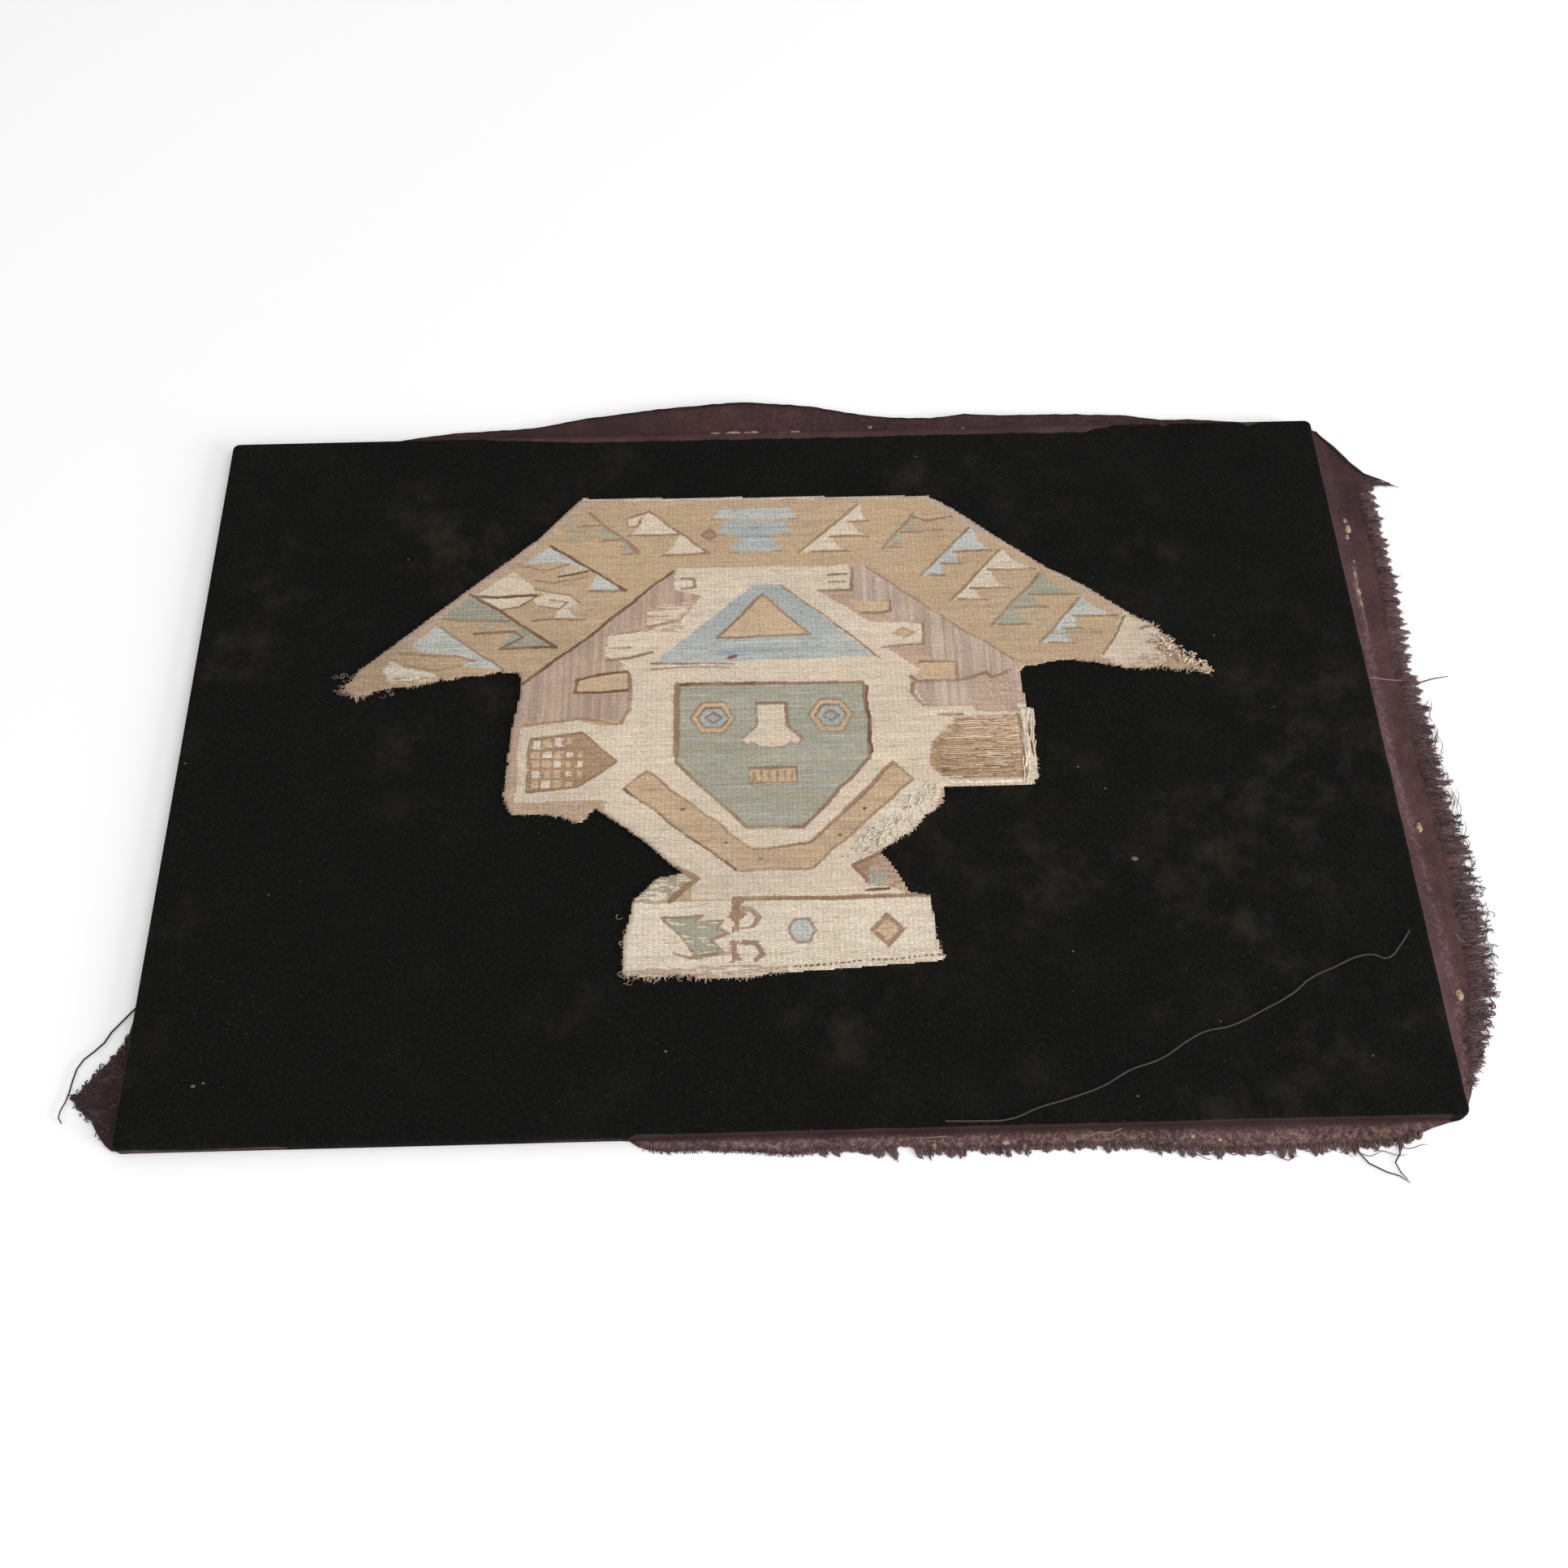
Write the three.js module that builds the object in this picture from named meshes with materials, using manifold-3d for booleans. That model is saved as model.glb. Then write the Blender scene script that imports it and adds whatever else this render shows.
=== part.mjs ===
// A torn tapestry fragment laid on a board that is covered in black cloth.
// Millimetres, +Z up. While it is built, x = y = 0 is the middle of the board and z = 0 the table;
// the last lines move the whole group so that the origin is the bottom centre of its box.

import * as THREE from 'three';
import { mergeVertices } from 'three/addons/utils/BufferGeometryUtils.js';
import Module from 'manifold-3d';

const wasm = await Module();
wasm.setup();

// The board and the layers on it
const BOARD_LENGTH = 457;
const BOARD_WIDTH = 305;
const BOARD_THICKNESS = 3;
const BOARD_CORNER = 1.5;
const CORNER_STEPS = 4;
const CLOTH = 1;
const GAP = 0.3;
const TAPESTRY_THICKNESS = 1.3;

// The ground cloth's folds
const FOLD_RADIUS = 1.5;
const FOOT_RADIUS = 0.9;
const SHOULDER_HEIGHT = 1.8;
const SHOULDER_RUN = 6;
const MARGIN_STEPS = [0.18, 0.4, 0.7, 1];
const FOLD_ANGLES = [0, 30, 60, 90];
const INSIDE_ANGLES = [90, 45, 0];
const STRAIGHT_FOOT = { outside: [1, 0.8, 0.6], inside: 0.7, edge: 0.5 };
const CREASE = { above: [0.5, 0.25], share: 0.04, inside: 0.1 };

// The frayed edges
const STRIP_WIDTH = 2.5;
const STRAND_ROOT = 1.2;
const STRAND_WIDTH = 0.9;
const STRAND_HEIGHT = 0.7;
const STRAND_PITCH = 2.6;
const STRAND_BEND = 0.55;
const STRAND_TAPER = 0.4;
const STRAND_UNEVEN = { place: 0.5, length: 0.28, lean: 0.7, bendShare: 0.35 };
const STRAY_CLEARANCE = 2.3;

// The loose thread
const THREAD_DIAMETER = 0.6;
const THREAD_SIDES = 8;
const THREAD_STEPS = 80;

const HALF_LENGTH = BOARD_LENGTH / 2;
const HALF_WIDTH = BOARD_WIDTH / 2;
const BOARD_BOTTOM = CLOTH + GAP;
const BOARD_TOP = BOARD_BOTTOM + BOARD_THICKNESS;
const CLOTH_UNDERSIDE = BOARD_TOP + GAP;
const CLOTH_TOP = CLOTH_UNDERSIDE + CLOTH;
const WALL_INSIDE = GAP;
const WALL_OUTSIDE = GAP + CLOTH;
const TAPESTRY_UNDERSIDE = CLOTH_TOP + GAP;
const THREAD_HEIGHT = CLOTH_TOP + GAP + THREAD_DIAMETER / 2;

// The four margins, one row for each section, in order round the board.
// along: place on the side. cloth: how far the woven cloth reaches out from the board's edge, or in
// under it where negative. tips: how far the fringe reaches, 0 where none is. lift: the edge's height.
const FRONT_MARGIN = [
  { along: -225, cloth: -2, tips: 0, lift: 0 },
  { along: -204, cloth: -22, tips: 0, lift: 0 },
  { along: -130, cloth: -22.5, tips: 0, lift: 0 },
  { along: -76, cloth: -21, tips: 0, lift: 0 },
  { along: -62, cloth: -4, tips: 0, lift: 0 },
  { along: -53, cloth: 3.2, tips: 0, lift: 0 },
  { along: -45, cloth: 5.3, tips: 0, lift: 0.2 },
  { along: -31, cloth: 5, tips: 0, lift: 0 },
  { along: -16, cloth: 5.8, tips: 0, lift: 0.2 },
  { along: 0, cloth: 7.4, tips: 0, lift: 0 },
  { along: 8, cloth: 6.6, tips: 9.2, lift: 0 },
  { along: 19, cloth: 6.4, tips: 9, lift: 0 },
  { along: 30, cloth: 7.5, tips: 11.7, lift: 0 },
  { along: 35, cloth: 6, tips: 10.6, lift: 0 },
  { along: 37.5, cloth: 5, tips: 5.6, lift: 0 },
  { along: 41, cloth: 6.5, tips: 11.8, lift: 0 },
  { along: 50, cloth: 7.5, tips: 11.4, lift: 0 },
  { along: 66, cloth: 8, tips: 11.8, lift: 0 },
  { along: 80, cloth: 7.4, tips: 10.4, lift: 0 },
  { along: 98, cloth: 6.8, tips: 9.4, lift: 0 },
  { along: 114, cloth: 7.5, tips: 10.6, lift: 0 },
  { along: 126, cloth: 8.6, tips: 12.2, lift: 0 },
  { along: 138, cloth: 9.5, tips: 13.6, lift: 0 },
  { along: 156, cloth: 10, tips: 14.6, lift: 0 },
  { along: 177, cloth: 9.6, tips: 13, lift: 0 },
  { along: 191, cloth: 9.4, tips: 13.4, lift: 0 },
  { along: 205, cloth: 8.4, tips: 12.6, lift: 0 },
  { along: 211, cloth: 6.6, tips: 10, lift: 0 },
  { along: 217, cloth: 4, tips: 0, lift: 0 },
  { along: 224, cloth: 2, tips: 0, lift: 0 },
];
const RIGHT_MARGIN = [
  { along: -150, cloth: 2.2, tips: 0, lift: 0 },
  { along: -144, cloth: 5, tips: 0, lift: 0.2 },
  { along: -137, cloth: 7, tips: 0, lift: 0.2 },
  { along: -131, cloth: 9, tips: 13.5, lift: 0 },
  { along: -124, cloth: 10, tips: 18, lift: 0 },
  { along: -117, cloth: 12.4, tips: 20, lift: 0 },
  { along: -111, cloth: 15, tips: 23.5, lift: 0 },
  { along: -101, cloth: 16.8, tips: 26, lift: 0 },
  { along: -91, cloth: 18, tips: 27, lift: 0 },
  { along: -77, cloth: 18.6, tips: 28.5, lift: 0 },
  { along: -64, cloth: 19, tips: 28, lift: 0 },
  { along: -46, cloth: 18.6, tips: 28, lift: 0 },
  { along: -27, cloth: 18, tips: 27.6, lift: 0 },
  { along: -10, cloth: 17.7, tips: 26.4, lift: 0 },
  { along: 8, cloth: 17.7, tips: 25.4, lift: 0 },
  { along: 22, cloth: 18.5, tips: 24, lift: 0 },
  { along: 27, cloth: 16.6, tips: 23.4, lift: 0 },
  { along: 38, cloth: 17.2, tips: 24, lift: 0 },
  { along: 52, cloth: 18.5, tips: 25, lift: 0 },
  { along: 70, cloth: 19.8, tips: 25.2, lift: 0 },
  { along: 88, cloth: 20, tips: 24.6, lift: 0 },
  { along: 104, cloth: 20, tips: 25, lift: 0 },
  { along: 121, cloth: 21.4, tips: 24.4, lift: 0 },
  { along: 126.5, cloth: 21.2, tips: 0, lift: 0.4 },
  { along: 132, cloth: 16.2, tips: 0, lift: 0.6 },
  { along: 142, cloth: 10.3, tips: 0, lift: 0.4 },
  { along: 150, cloth: 4.4, tips: 0, lift: 0.2 },
];
const BACK_MARGIN = [
  { along: 222, cloth: 2.2, tips: 0, lift: 0 },
  { along: 205, cloth: 3.6, tips: 0, lift: 0.6 },
  { along: 180, cloth: 5.7, tips: 0, lift: 1 },
  { along: 166, cloth: 6, tips: 0, lift: 1 },
  { along: 151, cloth: 8.8, tips: 0, lift: 1.2 },
  { along: 123, cloth: 10, tips: 0, lift: 1.4 },
  { along: 102, cloth: 9.8, tips: 0, lift: 1.6 },
  { along: 82, cloth: 10.9, tips: 0, lift: 1.8 },
  { along: 68, cloth: 9.4, tips: 0, lift: 1.6 },
  { along: 52, cloth: 10, tips: 0, lift: 1.4 },
  { along: 36, cloth: 12.4, tips: 0, lift: 1.6 },
  { along: 17, cloth: 17, tips: 0, lift: 2 },
  { along: -14, cloth: 20, tips: 0, lift: 2.4 },
  { along: -45, cloth: 17.6, tips: 0, lift: 2.2 },
  { along: -80, cloth: 13.2, tips: 0, lift: 1.8 },
  { along: -104, cloth: 8, tips: 0, lift: 1.4 },
  { along: -135, cloth: 6.6, tips: 0, lift: 0.8 },
  { along: -157, cloth: 2.4, tips: 0, lift: 0 },
  { along: -166, cloth: -4, tips: 0, lift: 0 },
  { along: -180, cloth: -20, tips: 0, lift: 0 },
  { along: -204, cloth: -22, tips: 0, lift: 0 },
  { along: -225, cloth: -2, tips: 0, lift: 0 },
];
const LEFT_MARGIN = [
  { along: 149, cloth: -2, tips: 0, lift: 0 },
  { along: 128, cloth: -22, tips: 0, lift: 0 },
  { along: 30, cloth: -22.5, tips: 0, lift: 0 },
  { along: -84, cloth: -21.5, tips: 0, lift: 0 },
  { along: -98, cloth: -4, tips: 0, lift: 0 },
  { along: -105, cloth: 2.6, tips: 0, lift: 0 },
  { along: -113, cloth: 3.2, tips: 0, lift: 0.3 },
  { along: -118, cloth: 6, tips: 0, lift: 0.3 },
  { along: -122, cloth: 9, tips: 12.5, lift: 0 },
  { along: -127, cloth: 11.5, tips: 15.6, lift: 0 },
  { along: -132, cloth: 13.5, tips: 19, lift: 0 },
  { along: -137, cloth: 14, tips: 21, lift: 0 },
  { along: -141, cloth: 12.4, tips: 21, lift: 0 },
  { along: -145, cloth: 9, tips: 13.5, lift: 0 },
  { along: -148, cloth: 6.5, tips: 0, lift: 0.2 },
  { along: -150.5, cloth: 3, tips: 0, lift: 0 },
];

// The sides of the board, counterclockwise from above. at: the middle of the side, out: away from the
// board, along: the way in which the side is measured.
const SIDES = {
  front: { at: [0, -HALF_WIDTH], out: [0, -1], along: [1, 0], margin: FRONT_MARGIN },
  right: { at: [HALF_LENGTH, 0], out: [1, 0], along: [0, 1], margin: RIGHT_MARGIN },
  back: { at: [0, HALF_WIDTH], out: [0, 1], along: [1, 0], margin: BACK_MARGIN },
  left: { at: [-HALF_LENGTH, 0], out: [-1, 0], along: [0, 1], margin: LEFT_MARGIN },
};
const CORNERS = {
  front: { x: 1, y: -1, startDegrees: -90 },
  right: { x: 1, y: 1, startDegrees: 0 },
  back: { x: -1, y: 1, startDegrees: 90 },
  left: { x: -1, y: -1, startDegrees: 180 },
};

// The tapestry's torn edge, clockwise. fray: how rough the edge is from this point to the next.
const TORN_EDGE = [
  { place: 'top of the headdress', x: -81, y: 119, fray: 0.5 },
  { place: 'right slope', x: 63, y: 118, fray: 0.5 },
  { place: 'right slope', x: 94, y: 95, fray: 0.5 },
  { place: 'right slope', x: 120, y: 74, fray: 0.6 },
  { place: 'right slope', x: 145, y: 57, fray: 0.8 },
  { place: 'right tip', x: 153, y: 48, fray: 1.2 },
  { place: 'right tip', x: 167, y: 26, fray: 1.2 },
  { place: 'underside, right', x: 153, y: 29, fray: 1 },
  { place: 'underside, right', x: 137, y: 30, fray: 1 },
  { place: 'underside, right', x: 115, y: 34, fray: 0.8 },
  { place: 'underside, right', x: 96, y: 31.5, fray: 0.5 },
  { place: 'right side', x: 93.5, y: 28, fray: 0.4 },
  { place: 'right ear', x: 96, y: 11.5, fray: 0.7 },
  { place: 'right ear', x: 97.5, y: -11, fray: 0.9 },
  { place: 'right ear', x: 93, y: -22, fray: 0.3 },
  { place: 'right cheek', x: 59, y: -22, fray: 0.6 },
  { place: 'right cheek', x: 59, y: -28, fray: 0.9 },
  { place: 'collar, right', x: 52, y: -35, fray: 1 },
  { place: 'collar, right', x: 42, y: -45, fray: 1 },
  { place: 'neck, right', x: 36, y: -50, fray: 0.6 },
  { place: 'neck, right', x: 41, y: -58, fray: 0.5 },
  { place: 'band, right', x: 44.5, y: -65, fray: 0.3 },
  { place: 'band, right', x: 52, y: -66.5, fray: 0.7 },
  { place: 'band, right', x: 54, y: -86, fray: 0.8 },
  { place: 'band, bottom', x: 58, y: -92.5, fray: 0.3 },
  { place: 'band, bottom', x: 0, y: -96.5, fray: 1.1 },
  { place: 'band, bottom', x: -27, y: -98.7, fray: 1.2 },
  { place: 'band, left', x: -59, y: -96.5, fray: 0.7 },
  { place: 'band, left', x: -57, y: -76, fray: 0.7 },
  { place: 'shoulder, left', x: -55, y: -65, fray: 0.6 },
  { place: 'shoulder, left', x: -46.5, y: -57, fray: 0.5 },
  { place: 'neck, left', x: -37, y: -55.5, fray: 0.8 },
  { place: 'collar, left', x: -71, y: -28, fray: 0.8 },
  { place: 'left ear', x: -75, y: -34, fray: 1 },
  { place: 'left ear', x: -101, y: -28, fray: 0.8 },
  { place: 'left ear', x: -105, y: -21, fray: 0.7 },
  { place: 'left side', x: -103, y: 9, fray: 0.5 },
  { place: 'left side', x: -100, y: 22.5, fray: 0.4 },
  { place: 'underside, left', x: -98.5, y: 33.5, fray: 0.6 },
  { place: 'underside, left', x: -110, y: 34, fray: 0.9 },
  { place: 'underside, left', x: -137, y: 28, fray: 1 },
  { place: 'left tip', x: -159, y: 25, fray: 1.2 },
  { place: 'left tip', x: -171, y: 26, fray: 1.2 },
  { place: 'left tip', x: -174, y: 32, fray: 1 },
  { place: 'left slope', x: -156, y: 42, fray: 0.6 },
  { place: 'left slope', x: -137, y: 61, fray: 0.5 },
  { place: 'left slope', x: -120, y: 77, fray: 0.5 },
  { place: 'left slope', x: -98.5, y: 98, fray: 0.5 },
  { place: 'left slope', x: -87.5, y: 113, fray: 0.4 },
];
const FRAY_STEP = 4.5;

// The threads that stand out of the frayed edges, from their root to their tip
const STRAY_THREADS = {
  right: [
    [[248.4, 119.6], [254.5, 121.4], [262, 119.6]],
    [[244.5, 24], [252, 22.8], [262.3, 25]],
  ],
  front: [
    [[190, -160.5], [193.5, -168], [199, -171.2], [206, -175]],
  ],
  left: [
    [[-241.4, -138.9], [-248.5, -139.4], [-251.8, -135], [-251, -127], [-247, -119.5],
      [-241.5, -114], [-238.3, -109], [-234, -104]],
  ],
};

// How the strands lean along each side, in slow waves or, at the corner tuft, fanned out
const LEAN = {
  right: (along) => 0.9 * Math.sin(along / 17) - 0.5,
  front: (along) => 0.8 * Math.sin(along / 13 + 1),
  left: (along) => 0.25 * (along + 138),
};

// The loose thread's route over the black cloth, from the front edge to its free end
const THREAD_ROUTE = [
  [51.5, -151.4], [62, -151.7], [74, -151.2], [83.5, -147.6], [95, -144.4], [106.5, -140.4],
  [116, -135.2], [127.5, -131.2], [138.5, -124.4], [144, -121.8], [153, -120], [165, -114.6],
  [176.5, -108.6], [184, -103], [193.5, -98.8], [202, -95.2], [207.5, -94.6], [212.4, -96],
  [218.2, -91], [222.4, -85.6],
];

const FINISH = {
  board: { color: 0x8b7a62, roughness: 0.9, metalness: 0 },
  ground: { color: 0x161513, roughness: 0.95, metalness: 0 },
  tapestry: { color: 0xc9b08a, roughness: 0.9, metalness: 0 },
  fringe: { color: 0x523d3d, roughness: 0.95, metalness: 0 },
  thread: { color: 0x7a6654, roughness: 0.9, metalness: 0 },
};

// A repeatable number from 0 to 1, so that the cloth is as uneven on every build
let wobbleState = 20;
function wobble() {
  wobbleState = (wobbleState * 16807) % 2147483647;
  return wobbleState / 2147483647;
}

function mix(a, b, share) {
  return a + (b - a) * share;
}

// A column of a margin's table at any place along the side
function marginAt(margin, along, column) {
  for (let row = 1; row < margin.length; row += 1) {
    const before = margin[row - 1];
    const after = margin[row];
    const share = (along - before.along) / (after.along - before.along);
    if (share >= 0 && share <= 1) return mix(before[column], after[column], share);
  }
  return 0;
}

function asSolid(geometry) {
  const bare = geometry.clone();
  bare.deleteAttribute('normal');
  bare.deleteAttribute('uv');
  const merged = mergeVertices(bare, 1e-4);
  const mesh = new wasm.Mesh({
    numProp: 3,
    vertProperties: new Float32Array(merged.attributes.position.array),
    triVerts: new Uint32Array(merged.index.array),
  });
  return new wasm.Manifold(mesh);
}

function asGeometry(solid) {
  const mesh = solid.getMesh();
  const geometry = new THREE.BufferGeometry();
  geometry.setAttribute('position', new THREE.BufferAttribute(new Float32Array(mesh.vertProperties), 3));
  geometry.setIndex(new THREE.BufferAttribute(new Uint32Array(mesh.triVerts), 1));
  geometry.computeVertexNormals();
  return geometry;
}

function namedMesh(name, geometry, finish) {
  const mesh = new THREE.Mesh(geometry, new THREE.MeshStandardMaterial(finish));
  mesh.name = name;
  return mesh;
}

function flatSolid(outline, thickness, bottom) {
  const shape = new THREE.Shape(outline.map(([x, y]) => new THREE.Vector2(x, y)));
  const geometry = new THREE.ExtrudeGeometry(shape, { depth: thickness, bevelEnabled: false });
  geometry.translate(0, 0, bottom);
  return geometry;
}

// Where the fringe is, the woven cloth ends short of the strip that holds the strands
function solidReach(row) {
  return row.tips > 0 ? row.cloth - STRIP_WIDTH - GAP : row.cloth;
}

// The cloth's section where it goes over the board's edge: places [out, height], from the face
// over the fold, down the wall and along the margin to its edge, and back along the inside.
function foldedSection(marginOutside, marginInside, foot) {
  const places = [];
  for (const degrees of FOLD_ANGLES) {
    const angle = THREE.MathUtils.degToRad(degrees);
    const out = WALL_OUTSIDE - FOLD_RADIUS * (1 - Math.sin(angle));
    places.push([out, CLOTH_TOP - FOLD_RADIUS * (1 - Math.cos(angle))]);
  }
  places.push(...foot.outside, ...marginOutside, ...marginInside.reverse(), foot.inside);
  const insideRadius = FOLD_RADIUS - CLOTH;
  for (const degrees of INSIDE_ANGLES) {
    const angle = THREE.MathUtils.degToRad(degrees);
    const out = WALL_INSIDE - insideRadius * (1 - Math.sin(angle));
    places.push([out, CLOTH_UNDERSIDE - insideRadius * (1 - Math.cos(angle))]);
  }
  return places;
}

// At the corners, and where a margin changes from turned under to loose, the wall ends on the table
function straightSection() {
  const foot = {
    outside: STRAIGHT_FOOT.outside.map((height) => [WALL_OUTSIDE, height]),
    inside: [WALL_INSIDE, STRAIGHT_FOOT.inside],
  };
  const heights = MARGIN_STEPS.map((step) => STRAIGHT_FOOT.edge * (1 - step));
  const outside = heights.map((height) => [WALL_OUTSIDE, height]);
  const inside = heights.map((height) => [WALL_INSIDE, height]);
  return foldedSection(outside, inside, foot);
}

function turnedUnderSection(reach) {
  const footStart = WALL_OUTSIDE - FOOT_RADIUS;
  const outside = MARGIN_STEPS.map((step) => [mix(footStart, reach, step), 0]);
  const inside = MARGIN_STEPS.map((step) => [mix(WALL_INSIDE - CREASE.inside, reach, step), CLOTH]);
  const foot = {
    outside: INSIDE_ANGLES.map((degrees) => {
      const angle = THREE.MathUtils.degToRad(degrees);
      return [
        WALL_OUTSIDE - FOOT_RADIUS * (1 - Math.sin(angle)),
        FOOT_RADIUS * (1 - Math.cos(angle)),
      ];
    }),
    inside: [WALL_INSIDE, CLOTH],
  };
  return foldedSection(outside, inside, foot);
}

// A loose margin leaves the wall in a soft shoulder, lies on the table and lifts at its edge
function looseSection(reach, lift) {
  const length = reach - WALL_OUTSIDE;
  const run = Math.min(SHOULDER_RUN, length);
  const shoulder = SHOULDER_HEIGHT * Math.min(1, length / SHOULDER_RUN);
  const underside = (distance) => {
    const slope = Math.max(0, 1 - distance / run);
    return shoulder * slope ** 2 + lift * (distance / length) ** 2;
  };
  const distances = MARGIN_STEPS.map((step) => length * step);
  const place = (distance, thickness) => [WALL_OUTSIDE + distance, underside(distance) + thickness];
  const outside = distances.map((distance) => place(distance, CLOTH));
  const inside = distances.map((distance) => place(distance, 0));
  const foot = {
    outside: [
      ...CREASE.above.map((above) => [WALL_OUTSIDE, shoulder + CLOTH + above]),
      place(CREASE.share * length, CLOTH),
    ],
    inside: [WALL_INSIDE, shoulder + CREASE.inside],
  };
  return foldedSection(outside, inside, foot);
}

function sectionFor(row) {
  const reach = solidReach(row);
  return reach < 0 ? turnedUnderSection(reach) : looseSection(reach, row.lift);
}

// The sections round the board, counterclockwise: each has its place on the board's edge, the way
// out and its section
function sectionsRoundBoard() {
  const stations = [];
  for (const [name, side] of Object.entries(SIDES)) {
    let before = null;
    for (const row of side.margin) {
      if (before && Math.sign(before.cloth) !== Math.sign(row.cloth)) {
        stations.push(stationOnSide(side, mix(before.along, row.along, 0.5), straightSection()));
      }
      stations.push(stationOnSide(side, row.along, sectionFor(row)));
      before = row;
    }
    stations.push(...cornerStations(CORNERS[name]));
  }
  return stations;
}

function stationOnSide(side, along, section) {
  return {
    x: side.at[0] + side.along[0] * along,
    y: side.at[1] + side.along[1] * along,
    out: side.out,
    section,
  };
}

function cornerStations(corner) {
  const stations = [];
  for (let step = 0; step <= CORNER_STEPS; step += 1) {
    const angle = THREE.MathUtils.degToRad(corner.startDegrees + (90 * step) / CORNER_STEPS);
    const out = [Math.cos(angle), Math.sin(angle)];
    stations.push({
      x: corner.x * (HALF_LENGTH - BOARD_CORNER) + out[0] * BOARD_CORNER,
      y: corner.y * (HALF_WIDTH - BOARD_CORNER) + out[1] * BOARD_CORNER,
      out,
      section: straightSection(),
    });
  }
  return stations;
}

function boardGeometry() {
  const outline = Object.values(CORNERS).flatMap(cornerStations).map(({ x, y }) => [x, y]);
  return flatSolid(outline, BOARD_THICKNESS, BOARD_BOTTOM);
}

function groundClothGeometry() {
  const stations = sectionsRoundBoard();
  const perSection = stations[0].section.length;
  const positions = [];
  for (const { x, y, out, section } of stations) {
    for (const [outward, height] of section) {
      positions.push(x + out[0] * outward, y + out[1] * outward, height);
    }
  }
  const triangles = [];
  for (let station = 0; station < stations.length; station += 1) {
    const here = station * perSection;
    const next = ((station + 1) % stations.length) * perSection;
    for (let place = 0; place + 1 < perSection; place += 1) {
      triangles.push(here + place, here + place + 1, next + place + 1);
      triangles.push(here + place, next + place + 1, next + place);
    }
  }
  triangles.push(...faceTriangles(positions, stations.length, perSection, 0, false));
  triangles.push(...faceTriangles(positions, stations.length, perSection, perSection - 1, true));
  const geometry = new THREE.BufferGeometry();
  geometry.setAttribute('position', new THREE.Float32BufferAttribute(positions, 3));
  geometry.setIndex(triangles);
  geometry.computeVertexNormals();
  return geometry;
}

// The flat middle of the cloth, inside the ring of one place in every section
function faceTriangles(positions, count, perSection, place, downwards) {
  const ring = [];
  for (let station = 0; station < count; station += 1) {
    const first = (station * perSection + place) * 3;
    ring.push(new THREE.Vector2(positions[first], positions[first + 1]));
  }
  const vertexOf = (corner) => corner * perSection + place;
  return THREE.ShapeUtils.triangulateShape(ring, []).flatMap(([a, b, c]) => (
    downwards ? [vertexOf(a), vertexOf(c), vertexOf(b)] : [vertexOf(a), vertexOf(b), vertexOf(c)]
  ));
}

function tapestryGeometry() {
  const outline = [];
  TORN_EDGE.forEach((from, row) => {
    const to = TORN_EDGE[(row + 1) % TORN_EDGE.length];
    const length = Math.hypot(to.x - from.x, to.y - from.y);
    const steps = Math.max(1, Math.round(length / FRAY_STEP));
    for (let step = 0; step < steps; step += 1) {
      const offset = step === 0 ? 0 : (wobble() - 0.5) * 2 * from.fray;
      const share = step / steps;
      outline.push([
        mix(from.x, to.x, share) + ((to.y - from.y) / length) * offset,
        mix(from.y, to.y, share) - ((to.x - from.x) / length) * offset,
      ]);
    }
  });
  return flatSolid(outline, TAPESTRY_THICKNESS, TAPESTRY_UNDERSIDE);
}

// A three-sided strand that lies flat on the table and runs out to a point
function strandGeometry(path) {
  const positions = [];
  const triangles = [];
  const last = path.length - 1;
  for (let point = 0; point < last; point += 1) {
    const before = path[Math.max(0, point - 1)];
    const after = path[point + 1];
    const length = Math.hypot(after[0] - before[0], after[1] - before[1]);
    const taper = 1 - STRAND_TAPER * (point / last);
    const side = [-(after[1] - before[1]) / length, (after[0] - before[0]) / length];
    const half = (STRAND_WIDTH / 2) * taper;
    const [x, y] = path[point];
    positions.push(x + side[0] * half, y + side[1] * half, 0);
    positions.push(x - side[0] * half, y - side[1] * half, 0);
    positions.push(x, y, STRAND_HEIGHT * taper);
  }
  positions.push(path[last][0], path[last][1], 0);
  triangles.push(0, 1, 2);
  for (let point = 0; point + 1 < last; point += 1) {
    for (let corner = 0; corner < 3; corner += 1) {
      const a = point * 3 + corner;
      const b = point * 3 + ((corner + 1) % 3);
      triangles.push(a, b + 3, b, a, a + 3, b + 3);
    }
  }
  const tip = last * 3;
  for (let corner = 0; corner < 3; corner += 1) {
    triangles.push(tip - 3 + corner, tip, tip - 3 + ((corner + 1) % 3));
  }
  const geometry = new THREE.BufferGeometry();
  geometry.setAttribute('position', new THREE.Float32BufferAttribute(positions, 3));
  geometry.setIndex(triangles);
  return geometry;
}

function placeOnSide(side, along, outward) {
  return [
    side.at[0] + side.along[0] * along + side.out[0] * outward,
    side.at[1] + side.along[1] * along + side.out[1] * outward,
  ];
}

// The strip that holds the strands, parted from the woven cloth by a small gap
function stripGeometry(side, fringed) {
  const inner = fringed.map((row) => placeOnSide(side, row.along, row.cloth - STRIP_WIDTH));
  const outer = fringed.map((row) => placeOnSide(side, row.along, row.cloth));
  return flatSolid([...inner, ...outer.reverse()], CLOTH, 0);
}

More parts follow.
